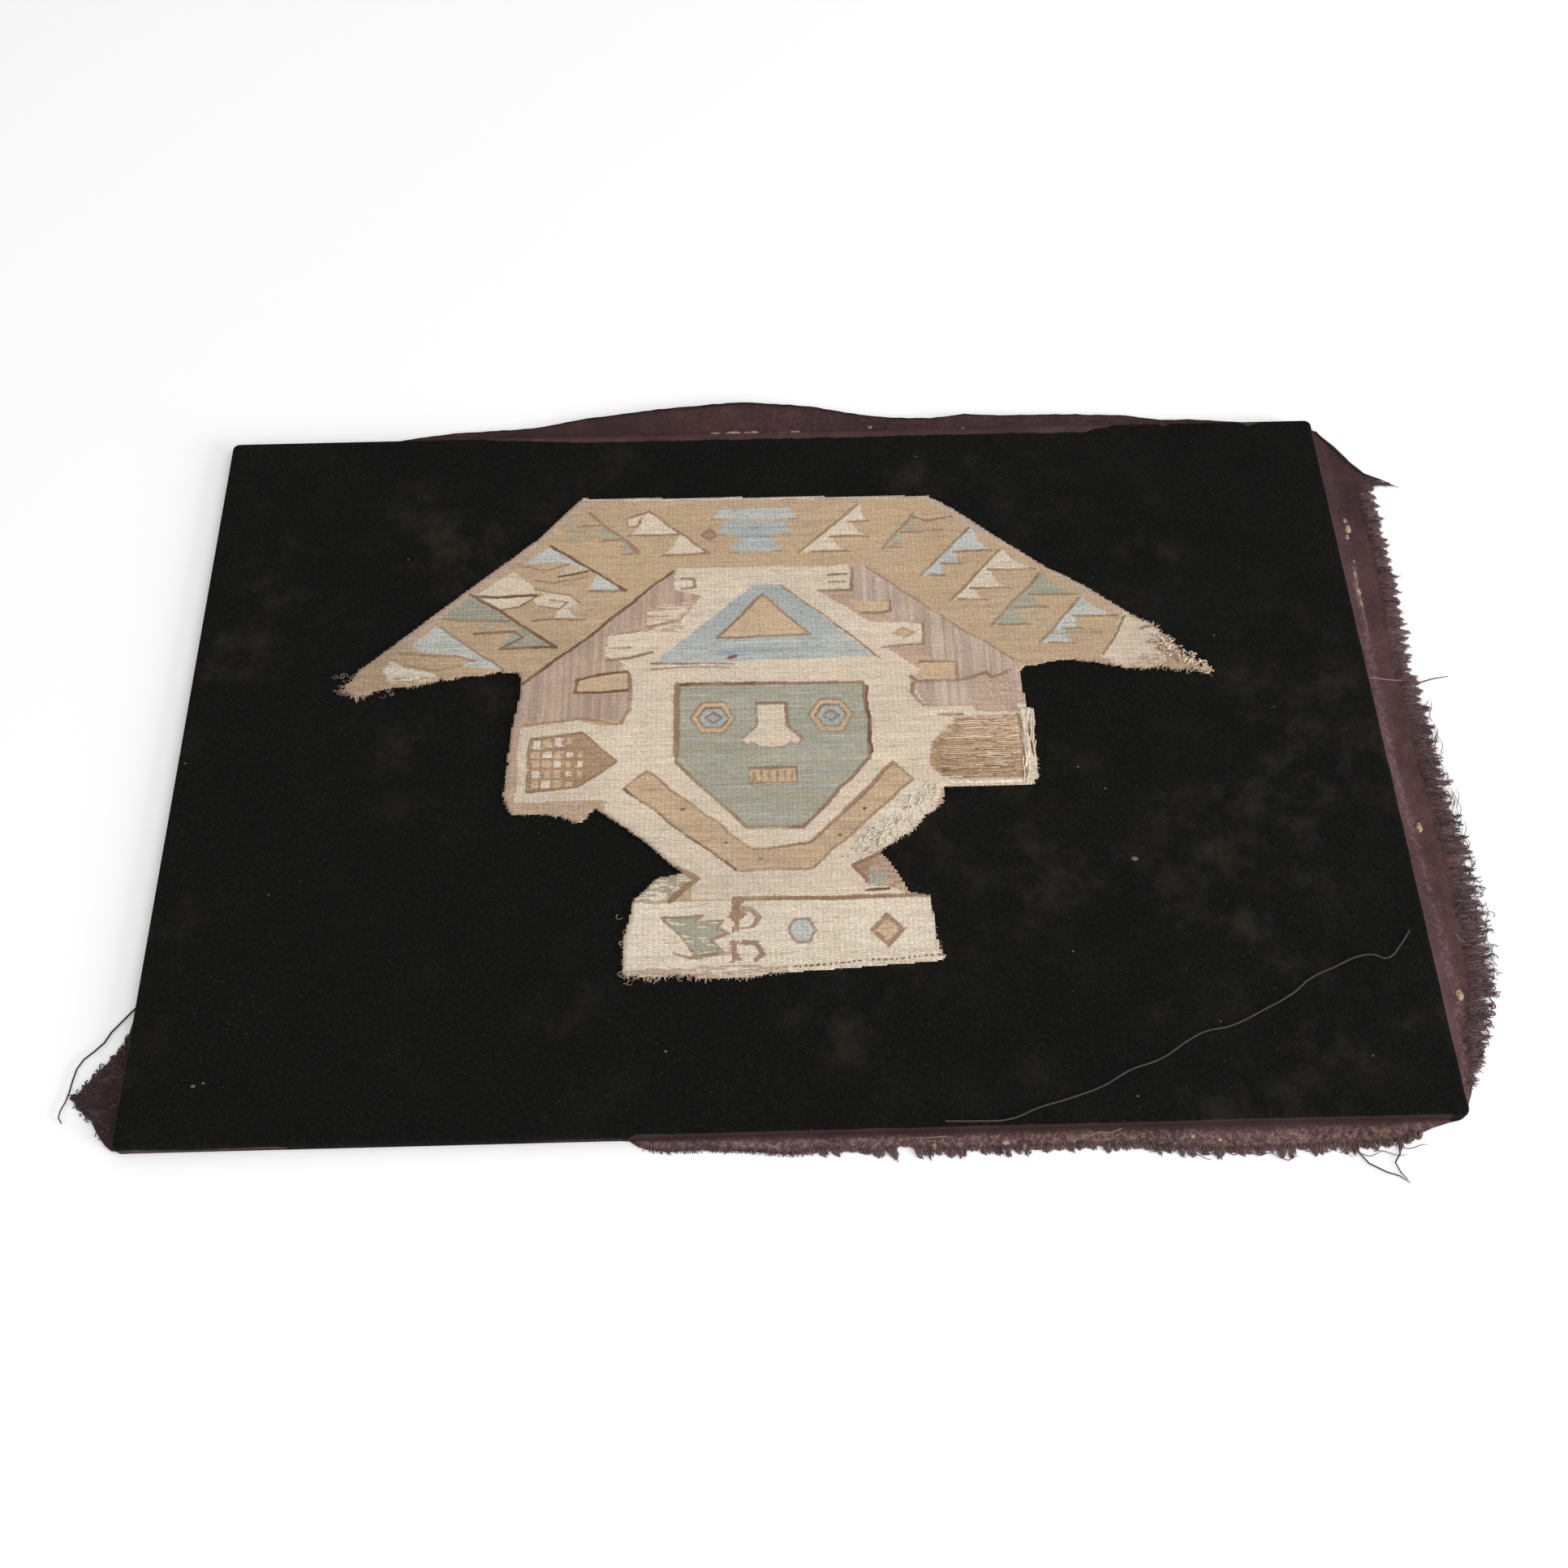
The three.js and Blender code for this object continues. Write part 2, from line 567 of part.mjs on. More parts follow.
// Each strand leans with its neighbours, a little its own way, and stands clear of the stray threads
function fringeGeometry(sideName) {
  const side = SIDES[sideName];
  const strays = STRAY_THREADS[sideName];
  const fringed = side.margin.filter((row) => row.tips > 0);
  const start = Math.min(fringed[0].along, fringed.at(-1).along) + STRAND_PITCH / 2;
  const end = Math.max(fringed[0].along, fringed.at(-1).along) - STRAND_PITCH / 2;
  const strayRoots = strays.map(([root]) => (side.along[0] ? root[0] : root[1]));
  let solid = asSolid(stripGeometry(side, fringed));
  for (let along = start; along <= end; along += STRAND_PITCH) {
    const roll = [wobble(), wobble(), wobble()];
    const root = along + (roll[0] - 0.5) * STRAND_UNEVEN.place;
    if (strayRoots.some((stray) => Math.abs(stray - root) < STRAY_CLEARANCE)) continue;
    const edge = marginAt(side.margin, root, 'cloth');
    const tip = mix(edge, marginAt(side.margin, root, 'tips'), 1 - STRAND_UNEVEN.length * roll[1]);
    const lean = LEAN[sideName](root) + (roll[2] - 0.5) * STRAND_UNEVEN.lean;
    const path = [
      placeOnSide(side, root, edge - STRAND_ROOT),
      placeOnSide(side, root + lean * STRAND_UNEVEN.bendShare, mix(edge, tip, STRAND_BEND)),
      placeOnSide(side, root + lean, tip),
    ];
    solid = solid.add(asSolid(strandGeometry(path)));
  }
  for (const stray of strays) {
    solid = solid.add(asSolid(strandGeometry(stray)));
  }
  return asGeometry(solid);
}

function threadGeometry() {
  const points = THREAD_ROUTE.map(([x, y]) => new THREE.Vector3(x, y, THREAD_HEIGHT));
  const section = new THREE.Shape();
  for (let side = 0; side < THREAD_SIDES; side += 1) {
    const angle = (2 * Math.PI * side) / THREAD_SIDES;
    const x = (THREAD_DIAMETER / 2) * Math.cos(angle);
    const y = (THREAD_DIAMETER / 2) * Math.sin(angle);
    if (side === 0) section.moveTo(x, y);
    else section.lineTo(x, y);
  }
  return new THREE.ExtrudeGeometry(section, {
    steps: THREAD_STEPS,
    extrudePath: new THREE.CatmullRomCurve3(points),
  });
}

const part = new THREE.Group();
part.add(namedMesh('mount_board', boardGeometry(), FINISH.board));
part.add(namedMesh('ground_cloth', groundClothGeometry(), FINISH.ground));
part.add(namedMesh('tapestry', tapestryGeometry(), FINISH.tapestry));
part.add(namedMesh('right_fringe', fringeGeometry('right'), FINISH.fringe));
part.add(namedMesh('bottom_fringe', fringeGeometry('front'), FINISH.fringe));
part.add(namedMesh('corner_fringe', fringeGeometry('left'), FINISH.fringe));

const box = new THREE.Box3().setFromObject(part);
const middle = box.getCenter(new THREE.Vector3());
part.add(namedMesh('loose_thread', threadGeometry(), FINISH.thread));
part.position.set(-middle.x, -middle.y, -box.min.z);
part.updateMatrixWorld(true);

export default part;
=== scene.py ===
import math
import random

import bmesh
import bpy
import numpy as np
from mathutils import Matrix, Vector, noise


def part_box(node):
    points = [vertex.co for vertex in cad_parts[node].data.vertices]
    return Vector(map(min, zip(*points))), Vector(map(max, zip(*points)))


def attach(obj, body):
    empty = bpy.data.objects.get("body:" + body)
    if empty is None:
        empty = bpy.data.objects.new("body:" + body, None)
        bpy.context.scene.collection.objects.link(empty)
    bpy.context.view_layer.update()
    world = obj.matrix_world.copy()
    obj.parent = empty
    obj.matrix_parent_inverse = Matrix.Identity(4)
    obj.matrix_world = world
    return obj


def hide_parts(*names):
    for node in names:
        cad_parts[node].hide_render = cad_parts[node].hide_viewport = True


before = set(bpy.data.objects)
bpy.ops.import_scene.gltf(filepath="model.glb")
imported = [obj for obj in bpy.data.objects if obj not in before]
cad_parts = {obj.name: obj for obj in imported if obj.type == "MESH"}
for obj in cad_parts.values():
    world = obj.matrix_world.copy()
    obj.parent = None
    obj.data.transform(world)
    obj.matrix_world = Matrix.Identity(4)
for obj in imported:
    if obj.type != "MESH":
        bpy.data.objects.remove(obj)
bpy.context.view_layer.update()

MM = 0.001

# The covered board, from the frame. Places below are in millimetres from the middle of the board,
# with z = 0 on the table.
board_low, board_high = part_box("mount_board")
_, cloth_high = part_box("ground_cloth")
tapestry_low, tapestry_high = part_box("tapestry")
BOARD_MIDDLE = (board_low + board_high) / 2
HALF_LENGTH = (board_high.x - board_low.x) / 2 / MM
HALF_WIDTH = (board_high.y - board_low.y) / 2 / MM
CLOTH_TOP = cloth_high.z / MM
TAPESTRY_BOTTOM = tapestry_low.z / MM
TAPESTRY_TOP = tapestry_high.z / MM

# The ground cloth and its folds. A short loose margin lies a little lower than a long one.
CLOTH_THICKNESS = 0.85
MARGIN_TOP = 1.0
SHORT_MARGIN_TOP = 0.9
WALL_OUT = 1.3
FOLD_RADIUS = 1.5
FOOT_RADIUS = 0.9
CORNER_ROUND = 1.5
SHOULDER_HEIGHT = 1.8
SHOULDER_RUN = 6.0

# The margins, one row for each section: place along the side, reach of the woven cloth (negative
# where it is turned under), reach of the fringe's tips (0 where none is), lift of the edge
FRONT_MARGIN = [
    (-225, -2, 0, 0), (-204, -22, 0, 0), (-130, -22.5, 0, 0), (-76, -21, 0, 0), (-62, -4, 0, 0),
    (-53, 3.2, 0, 0), (-45, 5.3, 0, 0.2), (-31, 5, 0, 0), (-16, 5.8, 0, 0.2), (0, 7.4, 0, 0),
    (8, 6.6, 9.2, 0), (19, 6.4, 9, 0), (30, 7.5, 11.7, 0), (35, 6, 10.6, 0), (37.5, 5, 5.6, 0),
    (41, 6.5, 11.8, 0), (50, 7.5, 11.4, 0), (60, 8, 11.6, 0), (63, 6, 6.5, 0), (66, 8, 11.8, 0),
    (80, 7.4, 10.4, 0), (97, 7, 9.6, 0), (99, 5, 5.4, 0), (101, 7, 9.6, 0), (114, 7.5, 10.6, 0),
    (126, 8.6, 12.2, 0), (138, 9.5, 13.6, 0),
    (156, 10, 14.6, 0), (177, 9.6, 13, 0), (191, 9.4, 13.4, 0), (205, 8.4, 12.6, 0),
    (211, 6.6, 10, 0), (217, 4, 0, 0), (224, 2, 0, 0),
]
RIGHT_MARGIN = [
    (-150, 2.2, 0, 0), (-144, 5, 0, 0.2), (-137, 7, 0, 0.2), (-131, 9, 13.5, 0),
    (-124, 10, 18, 0), (-117, 12.4, 20, 0), (-111, 15, 23.5, 0), (-101, 16.8, 26, 0),
    (-91, 18, 27, 0), (-77, 18.6, 28.5, 0), (-64, 19, 28, 0), (-46, 18.6, 28, 0),
    (-27, 18, 27.6, 0), (-10, 17.7, 26.4, 0), (8, 17.7, 25.4, 0), (22, 18.5, 24, 0),
    (27, 16.6, 23.4, 0), (38, 17.2, 24, 0), (52, 18.5, 25, 0), (70, 19.8, 25.2, 0),
    (88, 20, 24.6, 0), (104, 20, 25, 0), (118, 20.4, 24.2, 0),
    (121, 22, 25, 0), (124, 26.4, 0, 0.2), (127, 20.4, 0, 0.4),
    (132, 16.2, 0, 0.6), (142, 10.3, 0, 0.4), (150, 4.4, 0, 0.2),
]
BACK_MARGIN = [
    (-225, -2, 0, 0), (-206, -22, 0, 0), (-190, -20, 0, 0), (-178, -4, 0, 0), (-169, 2.4, 0, 0),
    (-150, 5.8, 0, 0.6), (-135, 7.4, 0, 0.8), (-104, 8.4, 0, 1.4), (-80, 13.2, 0, 1.8),
    (-45, 17.6, 0, 2.2), (-14, 20, 0, 2.4), (17, 17, 0, 2), (36, 12.4, 0, 1.6), (52, 10, 0, 1.4),
    (68, 9.4, 0, 1.6),
    (82, 10.9, 0, 1.8), (102, 9.8, 0, 1.6), (123, 10, 0, 1.4), (151, 8.8, 0, 1.2),
    (166, 6, 0, 1), (180, 5.7, 0, 1), (205, 3.6, 0, 0.6), (222, 2.2, 0, 0),
]
LEFT_MARGIN = [
    (-151, 4.4, 0, 0), (-148.5, 7, 0, 0.2), (-145.5, 9, 12.5, 0), (-142, 11, 16.5, 0),
    (-138.5, 13.5, 20.6, 0), (-135, 14.5, 21.8, 0), (-131, 14, 20.6, 0), (-127, 12.4, 17.5, 0),
    (-122.5, 10, 14.5, 0), (-118.5, 6.4, 9, 0.3), (-114, 3.4, 0, 0.3), (-106, 2.6, 0, 0),
    (-98, -4, 0, 0), (-84, -21.5, 0, 0), (30, -22.5, 0, 0), (128, -22, 0, 0), (149, -2, 0, 0),
]

# The loose thread's route over the black cloth, from the front edge to its free end
THREAD_DIAMETER = 0.6
THREAD_GAP = 0.3
THREAD_ROUTE = [
    (51.5, -151.4), (62, -151.7), (74, -151.2), (83.5, -147.6), (95, -144.4), (106.5, -140.4),
    (116, -135.2), (127.5, -131.2), (138.5, -124.4), (144, -121.8), (153, -120), (165, -114.6),
    (176.5, -108.6), (184, -103), (193.5, -98.8), (202, -95.2), (207.5, -94.6), (212.4, -96),
    (218.2, -91), (222.4, -85.6),
]

# The camera, as the photograph was taken
CAMERA_AT = (-4.3, -330.6, 558.5)
CAMERA_TARGET = (0.4, -19.8, 7.0)
CAMERA_ROLL_DEGREES = -0.63
CAMERA_LENS = 38.73
CAMERA_SENSOR = 36.0

# The studio: name, place, size and power of each light, in metres and watts
LIGHTS = [
    ("key", (2.0, -0.9, 2.8), 2.6, 53),
    ("fill", (-1.6, -1.8, 2.8), 2.4, 20),
    ("low", (2.6, -1.3, 0.8), 1.2, 78),
]
DAYLIGHT = (1.0, 1.0, 1.0, 1.0)
DAYLIGHT_STRENGTH = 0.72
FLOOR_HALF_SIZE = 4.0
FLOOR_PALE = (0.79, 0.79, 0.79, 1)


def at(x, y, z):
    """A place in the frame, from millimetres off the middle of the board."""
    return Vector((BOARD_MIDDLE.x + x * MM, BOARD_MIDDLE.y + y * MM, z * MM))


def mix(a, b, share):
    return a + (b - a) * share


def smooth(share):
    share = min(1.0, max(0.0, share))
    return share * share * (3 - 2 * share)


def shares(count):
    """Evenly spaced shares from 0 to 1."""
    return [index / (count - 1) for index in range(count)]


def new_object(name, data):
    made = bpy.data.objects.new(name, data)
    bpy.context.scene.collection.objects.link(made)
    return made


def add_piece(name, bm, material):
    mesh = bpy.data.meshes.new(name)
    bm.to_mesh(mesh)
    bm.free()
    mesh.polygons.foreach_set("use_smooth", [True] * len(mesh.polygons))
    mesh.materials.append(material)
    return new_object(name, mesh)


# Camera, floor and light

def make_camera():
    data = bpy.data.cameras.new("camera")
    data.lens = CAMERA_LENS
    data.sensor_width = CAMERA_SENSOR
    data.clip_start = 0.01
    data.clip_end = 20
    camera = new_object("camera", data)
    look = (at(*CAMERA_TARGET) - at(*CAMERA_AT)).normalized()
    turn = look.to_track_quat("-Z", "Y").to_matrix().to_4x4()
    roll = Matrix.Rotation(math.radians(CAMERA_ROLL_DEGREES), 4, "Z")
    camera.matrix_world = Matrix.Translation(at(*CAMERA_AT)) @ turn @ roll
    bpy.context.scene.camera = camera


def make_light(name, place, size, power):
    """A round soft light that points at the middle of the table."""
    data = bpy.data.lights.new(name, "AREA")
    data.shape = "DISK"
    data.size = size
    data.energy = power
    light = new_object(name, data)
    light.location = place
    light.rotation_mode = "QUATERNION"
    light.rotation_quaternion = (-Vector(place)).to_track_quat("-Z", "Y")


def make_studio():
    scene = bpy.context.scene
    scene.view_settings.view_transform = "Standard"
    world = bpy.data.worlds.new("studio")
    world.use_nodes = True
    background = world.node_tree.nodes["Background"]
    background.inputs["Color"].default_value = DAYLIGHT
    background.inputs["Strength"].default_value = DAYLIGHT_STRENGTH
    scene.world = world
    for light in LIGHTS:
        make_light(*light)
    bm = bmesh.new()
    bmesh.ops.create_grid(bm, x_segments=2, y_segments=2, size=FLOOR_HALF_SIZE)
    floor = add_piece("floor", bm, plain_material("floor_white", FLOOR_PALE, 0.8))


# Shader helpers

class Nodes:
    """Short forms for the nodes of one tree."""

    def __init__(self, tree):
        self.tree = tree

    def add(self, kind, **settings):
        node = self.tree.nodes.new(kind)
        for name, value in settings.items():
            setattr(node, name, value)
        return node

    def link(self, source, target):
        if isinstance(source, (int, float, tuple)):
            target.default_value = source
        else:
            self.tree.links.new(source, target)

    def math(self, operation, *values):
        node = self.add("ShaderNodeMath", operation=operation)
        for socket, value in zip(node.inputs, values):
            self.link(value, socket)
        return node.outputs[0]

    def mix(self, factor, first, second, blend="MIX"):
        node = self.add("ShaderNodeMix", data_type="RGBA", blend_type=blend)
        self.link(factor, node.inputs["Factor"])
        self.link(first, node.inputs["A"])
        self.link(second, node.inputs["B"])
        return node.outputs["Result"]

    def span(self, value, low, high):
        """0 under low, 1 over high."""
        node = self.add("ShaderNodeMapRange", interpolation_type="SMOOTHSTEP")
        self.link(value, node.inputs["Value"])
        node.inputs["From Min"].default_value = low
        node.inputs["From Max"].default_value = high
        return node.outputs["Result"]

    def noise(self, vector, scale, detail=3.0, roughness=0.6):
        node = self.add("ShaderNodeTexNoise")
        self.link(vector, node.inputs["Vector"])
        node.inputs["Scale"].default_value = scale
        node.inputs["Detail"].default_value = detail
        node.inputs["Roughness"].default_value = roughness
        return node.outputs["Fac"]

    def split(self, vector):
        node = self.add("ShaderNodeSeparateXYZ")
        self.link(vector, node.inputs[0])
        return node.outputs

    def group(self, tree, **values):
        node = self.add("ShaderNodeGroup", node_tree=tree)
        for name, value in values.items():
            self.link(value, node.inputs[name.replace("_", " ")])
        return node.outputs

    def attribute(self, name):
        return self.add("ShaderNodeAttribute", attribute_name=name).outputs

    def value(self, name):
        """A number that the piece carries at each place."""
        return self.attribute(name)["Fac"]

    def inverse(self, value):
        return self.math("SUBTRACT", 1.0, value)

    def centred(self, value):
        """Noise from 0 to 1, moved to lie about 0."""
        return self.math("SUBTRACT", value, 0.5)

    def ridge(self, count):
        """A rounded ridge from each whole number to the next."""
        return self.math("ABSOLUTE", self.math("SINE", self.math("MULTIPLY", count, math.pi)))

    def every_other(self, count, value):
        """The value on every other ridge and 0 on the ones between."""
        whole = self.math("ABSOLUTE", self.math("FLOOR", count))
        return self.math("MULTIPLY", self.math("MODULO", whole, 2.0), value)

    def by_turn(self, pair, turn):
        """The first value where the threads run along x and the second where they run along y."""
        first = self.math("MULTIPLY", pair[0], self.inverse(turn))
        return self.math("MULTIPLY_ADD", pair[1], turn, first)

    def shade(self, color, value):
        """The colour, made lighter or darker by the value."""
        grey = self.add("ShaderNodeCombineColor")
        for socket in grey.inputs:
            self.link(value, socket)
        return self.mix(1.0, color, grey.outputs[0], "MULTIPLY")

    def object_place(self):
        return self.add("ShaderNodeTexCoord").outputs["Object"]


def new_group(name, inputs, outputs):
    tree = bpy.data.node_groups.new(name, "ShaderNodeTree")
    for label, kind in inputs:
        tree.interface.new_socket(label, in_out="INPUT", socket_type=kind)
    for label, kind in outputs:
        tree.interface.new_socket(label, in_out="OUTPUT", socket_type=kind)
    nodes = Nodes(tree)
    return tree, nodes, nodes.add("NodeGroupInput").outputs, nodes.add("NodeGroupOutput").inputs


FLOAT = "NodeSocketFloat"
VECTOR = "NodeSocketVector"
COLOR = "NodeSocketColor"

# Spacings of the threads, in metres
CLOTH_PITCH = 0.0009
CLOTH_SLACK = 0.0030
WARP_PITCH = 0.0019
WEFT_PITCH = 0.0006
WEFT_SLACK = 0.0012

# The streaks change this many times as fast along their run as across it
STREAK_SQUEEZE = 0.09


def make_plain_weave():
    """Threads over and under one another. Height is 0 between threads and 1 on their crowns."""
    tree, nodes, given, out = new_group(
        "plain_weave",
        [("Vector", VECTOR), ("Pitch", FLOAT), ("Slack", FLOAT)],
        [("Height", FLOAT)],
    )
    wander = nodes.centred(nodes.noise(given["Vector"], 160.0, 2.0))
    drift = nodes.math("MULTIPLY", wander, given["Slack"])
    x, y, _ = nodes.split(given["Vector"])
    u = nodes.math("DIVIDE", nodes.math("ADD", x, drift), given["Pitch"])
    v = nodes.math("DIVIDE", nodes.math("ADD", y, drift), given["Pitch"])
    threads = []
    for across, along, rise in ((u, v, 0.4), (v, u, -0.4)):
        swing = nodes.math("MULTIPLY", along, math.pi)
        phase = nodes.math("ADD", swing, nodes.every_other(across, math.pi))
        crown = nodes.math("MULTIPLY_ADD", nodes.math("COSINE", phase), rise, 0.6)
        threads.append(nodes.math("MULTIPLY", nodes.ridge(across), crown))
    nodes.link(nodes.math("MAXIMUM", *threads), out["Height"])
    return tree


def make_weft_ribs():
    """Packed wefts over spaced warps. Turn is 0 where the wefts run along x and 1 along y."""
    tree, nodes, given, out = new_group(
        "weft_ribs",
        [("Vector", VECTOR), ("Warp Pitch", FLOAT), ("Weft Pitch", FLOAT), ("Turn", FLOAT)],
        [("Height", FLOAT)],
    )
    wander = nodes.centred(nodes.noise(given["Vector"], 220.0, 2.0))
    drift = nodes.math("MULTIPLY", wander, WEFT_SLACK)
    x, y, _ = nodes.split(given["Vector"])
    heights = []
    for along, across in ((x, y), (y, x)):
        warp = nodes.math("DIVIDE", nodes.math("ADD", along, drift), given["Warp Pitch"])
        weft = nodes.math("DIVIDE", nodes.math("ADD", across, drift), given["Weft Pitch"])
        staggered = nodes.math("ADD", weft, nodes.every_other(warp, 0.5))
        heights.append(nodes.math("MULTIPLY_ADD", nodes.ridge(warp), 0.35, nodes.ridge(staggered)))
    nodes.link(nodes.by_turn(heights, given["Turn"]), out["Height"])
    return tree


def make_weft_streaks():
    """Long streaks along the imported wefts. Turn is 0 where they run along x and 1 along y."""
    tree, nodes, given, out = new_group(
        "weft_streaks",
        [("Vector", VECTOR), ("Turn", FLOAT)],
        [("Streak", FLOAT), ("Slit", FLOAT)],
    )
    streaks, slits = [], []
    for stretch in ((STREAK_SQUEEZE, 1.0, 1.0), (1.0, STREAK_SQUEEZE, 1.0)):
        mapping = nodes.add("ShaderNodeMapping", vector_type="POINT")
        nodes.link(given["Vector"], mapping.inputs["Vector"])
        mapping.inputs["Scale"].default_value = stretch
        streaks.append(nodes.noise(mapping.outputs[0], 900.0, 3.0))
        # Slits: thin lines that the wool darkens with painted shade.
        slits.append(nodes.span(nodes.noise(mapping.outputs[0], 1300.0, 1.0), 0.66, 0.74))
    nodes.link(nodes.by_turn(streaks, given["Turn"]), out["Streak"])
    nodes.link(nodes.by_turn(slits, given["Turn"]), out["Slit"])
    return tree


def make_uneven_dye():
    """Wool or cotton that took its dye unevenly: broad patches and fine heather."""
    tree, nodes, given, out = new_group(
        "uneven_dye",
        [("Vector", VECTOR), ("Colour", COLOR), ("Patches", FLOAT), ("Heather", FLOAT)],
        [("Colour", COLOR)],
    )
    patches = nodes.centred(nodes.noise(given["Vector"], 38.0, 4.0))
    heather = nodes.centred(nodes.noise(given["Vector"], 1100.0, 2.0, 0.7))
    broad = nodes.math("MULTIPLY", patches, given["Patches"])
    value = nodes.math("ADD", 1.0, nodes.math("MULTIPLY_ADD", heather, given["Heather"], broad))
    nodes.link(nodes.shade(given["Colour"], value), out["Colour"])
    return tree


def new_material(name, roughness, sheen=0.0):
    material = bpy.data.materials.new(name)
    material.use_nodes = True
    nodes = Nodes(material.node_tree)
    shader = material.node_tree.nodes["Principled BSDF"]
    shader.inputs["Roughness"].default_value = roughness
    shader.inputs["Specular IOR Level"].default_value = 0.2
    shader.inputs["Sheen Weight"].default_value = sheen
    shader.inputs["Sheen Roughness"].default_value = 0.6
    return material, nodes, shader


def plain_material(name, color, roughness):
    material, _, shader = new_material(name, roughness)
    shader.inputs["Base Color"].default_value = color
    return material


def add_bump(nodes, shader, height, distance, strength=1.0):
    bump = nodes.add("ShaderNodeBump")
    nodes.link(height, bump.inputs["Height"])
    bump.inputs["Distance"].default_value = distance
    bump.inputs["Strength"].default_value = strength
    nodes.link(bump.outputs["Normal"], shader.inputs["Normal"])


def dye(nodes, shader, color, patches, heather):
    """Gives the shader an unevenly dyed colour."""
    dyed = nodes.group(UNEVEN_DYE, Vector=nodes.object_place(), Colour=color, Patches=patches,
                       Heather=heather)
    nodes.link(dyed["Colour"], shader.inputs["Base Color"])


PLAIN_WEAVE = make_plain_weave()
WEFT_RIBS = make_weft_ribs()
WEFT_STREAKS = make_weft_streaks()
UNEVEN_DYE = make_uneven_dye()

# Colours of the yarns and cloth
BLACK = (0.0028, 0.0030, 0.0027, 1)
# Painted highlight: the lighter black of the raised fibres.
BLACK_CROWN_HIGHLIGHT = (0.0068, 0.0070, 0.0064, 1)
STAIN = (0.0168, 0.0134, 0.0092, 1)
LINT = (0.032, 0.030, 0.026, 1)
MARGIN_BROWN = (0.080, 0.041, 0.042, 1)
MARGIN_DARK = (0.040, 0.020, 0.021, 1)
MARGIN_GOLD = (0.172, 0.120, 0.100, 1)
# Painted shade on the brown margins.
MARGIN_PAINTED_SHADE = (0.026, 0.014, 0.014, 1)
# The darker cut edge of a margin, partly painted shadow under its rim.
CUT_EDGE_AND_SHADOW = (0.018, 0.009, 0.009, 1)
GLUE_DARK = (0.14, 0.085, 0.06, 1)
GLUE_LIGHT = (0.38, 0.275, 0.19, 1)
LINT_DARK = (0.015, 0.014, 0.013, 1)
LINT_LIGHT = (0.16, 0.15, 0.14, 1)
BOARD_BROWN = (0.26, 0.20, 0.13, 1)
OUTLINE_SOFT = (0.275, 0.165, 0.092, 1)
OUTLINE_DARK = (0.150, 0.076, 0.037, 1)
# Painted shade in the tapestry's grooves and slits.
PAINTED_RECESS_SHADE = (0.16, 0.11, 0.07, 1)

# Loose yarns: the colour of the lightest strands and of the darkest
LOOSE_YARNS = {
    "loose_thread": ((0.115, 0.085, 0.062, 1), (0.045, 0.03, 0.022, 1)),
    "fringe_yarn": ((0.125, 0.070, 0.070, 1), (0.026, 0.013, 0.014, 1)),
    "margin_thread": ((0.22, 0.15, 0.13, 1), (0.05, 0.03, 0.03, 1)),
    "glue_line": ((0.27, 0.18, 0.12, 1), (0.125, 0.072, 0.064, 1)),
    "torn_edge_yarn": ((0.50, 0.41, 0.32, 1), (0.22, 0.13, 0.09, 1)),
    "cream_yarn": ((0.64, 0.52, 0.39, 1), (0.24, 0.14, 0.08, 1)),
    "ear_yarn": ((0.60, 0.45, 0.31, 1), (0.25, 0.15, 0.08, 1)),
    "white_yarn": ((0.70, 0.61, 0.49, 1), (0.14, 0.09, 0.05, 1)),
}


def black_cloth_material():
    """Black, worn and stained on the face, and brown where the attribute loose is above 0."""
    material, nodes, shader = new_material("black_cloth", 0.97)
    shader.inputs["Specular IOR Level"].default_value = 0.06
    place = nodes.object_place()
    fine = nodes.noise(place, 700.0, 3.0, 0.7)
    wear = nodes.noise(place, 60.0, 4.0, 0.7)
    # Painted highlight: the cloth is lighter where its fine fibres stand highest, on the black and on
    # the brown.
    crown = nodes.span(fine, 0.3, 0.75)

    stain = nodes.span(nodes.noise(place, 8.0, 5.0, 0.65), 0.45, 0.64)
    blotch = nodes.span(wear, 0.42, 0.75)
    lint = nodes.span(nodes.noise(place, 1100.0, 1.0), 0.70, 0.78)
    dark = nodes.mix(crown, BLACK, BLACK_CROWN_HIGHLIGHT)
    dark = nodes.mix(nodes.math("MULTIPLY", stain, blotch), dark, STAIN)
    dark = nodes.mix(lint, dark, LINT)

    tone = nodes.math("MULTIPLY_ADD", crown, 0.45, nodes.span(wear, 0.25, 0.75))
    flecks = nodes.span(nodes.noise(place, 560.0, 4.0, 0.8), 0.42, 0.68)
    brown = nodes.mix(tone, MARGIN_DARK, MARGIN_BROWN)
    # Painted shade on the brown margins.
    brown = nodes.mix(nodes.value("painted_shade"), brown, MARGIN_PAINTED_SHADE)
    brown = nodes.mix(nodes.math("MULTIPLY", nodes.value("golden"), flecks), brown, MARGIN_GOLD)
    # A darker cut edge, partly painted shadow under the margin's rim.
    brown = nodes.mix(nodes.value("cut_edge_and_shadow"), brown, CUT_EDGE_AND_SHADOW)

    loose = nodes.math("MULTIPLY_ADD", nodes.centred(wear), 1.2, nodes.value("loose"))
    brown_part = nodes.span(loose, -0.12, 0.12)
    dye(nodes, shader, nodes.mix(brown_part, dark, brown), 0.8, 0.5)
    weave = nodes.group(PLAIN_WEAVE, Vector=place, Pitch=CLOTH_PITCH, Slack=CLOTH_SLACK)
    add_bump(nodes, shader, nodes.math("MULTIPLY_ADD", weave["Height"], 0.35, fine), 0.00012)
    return material


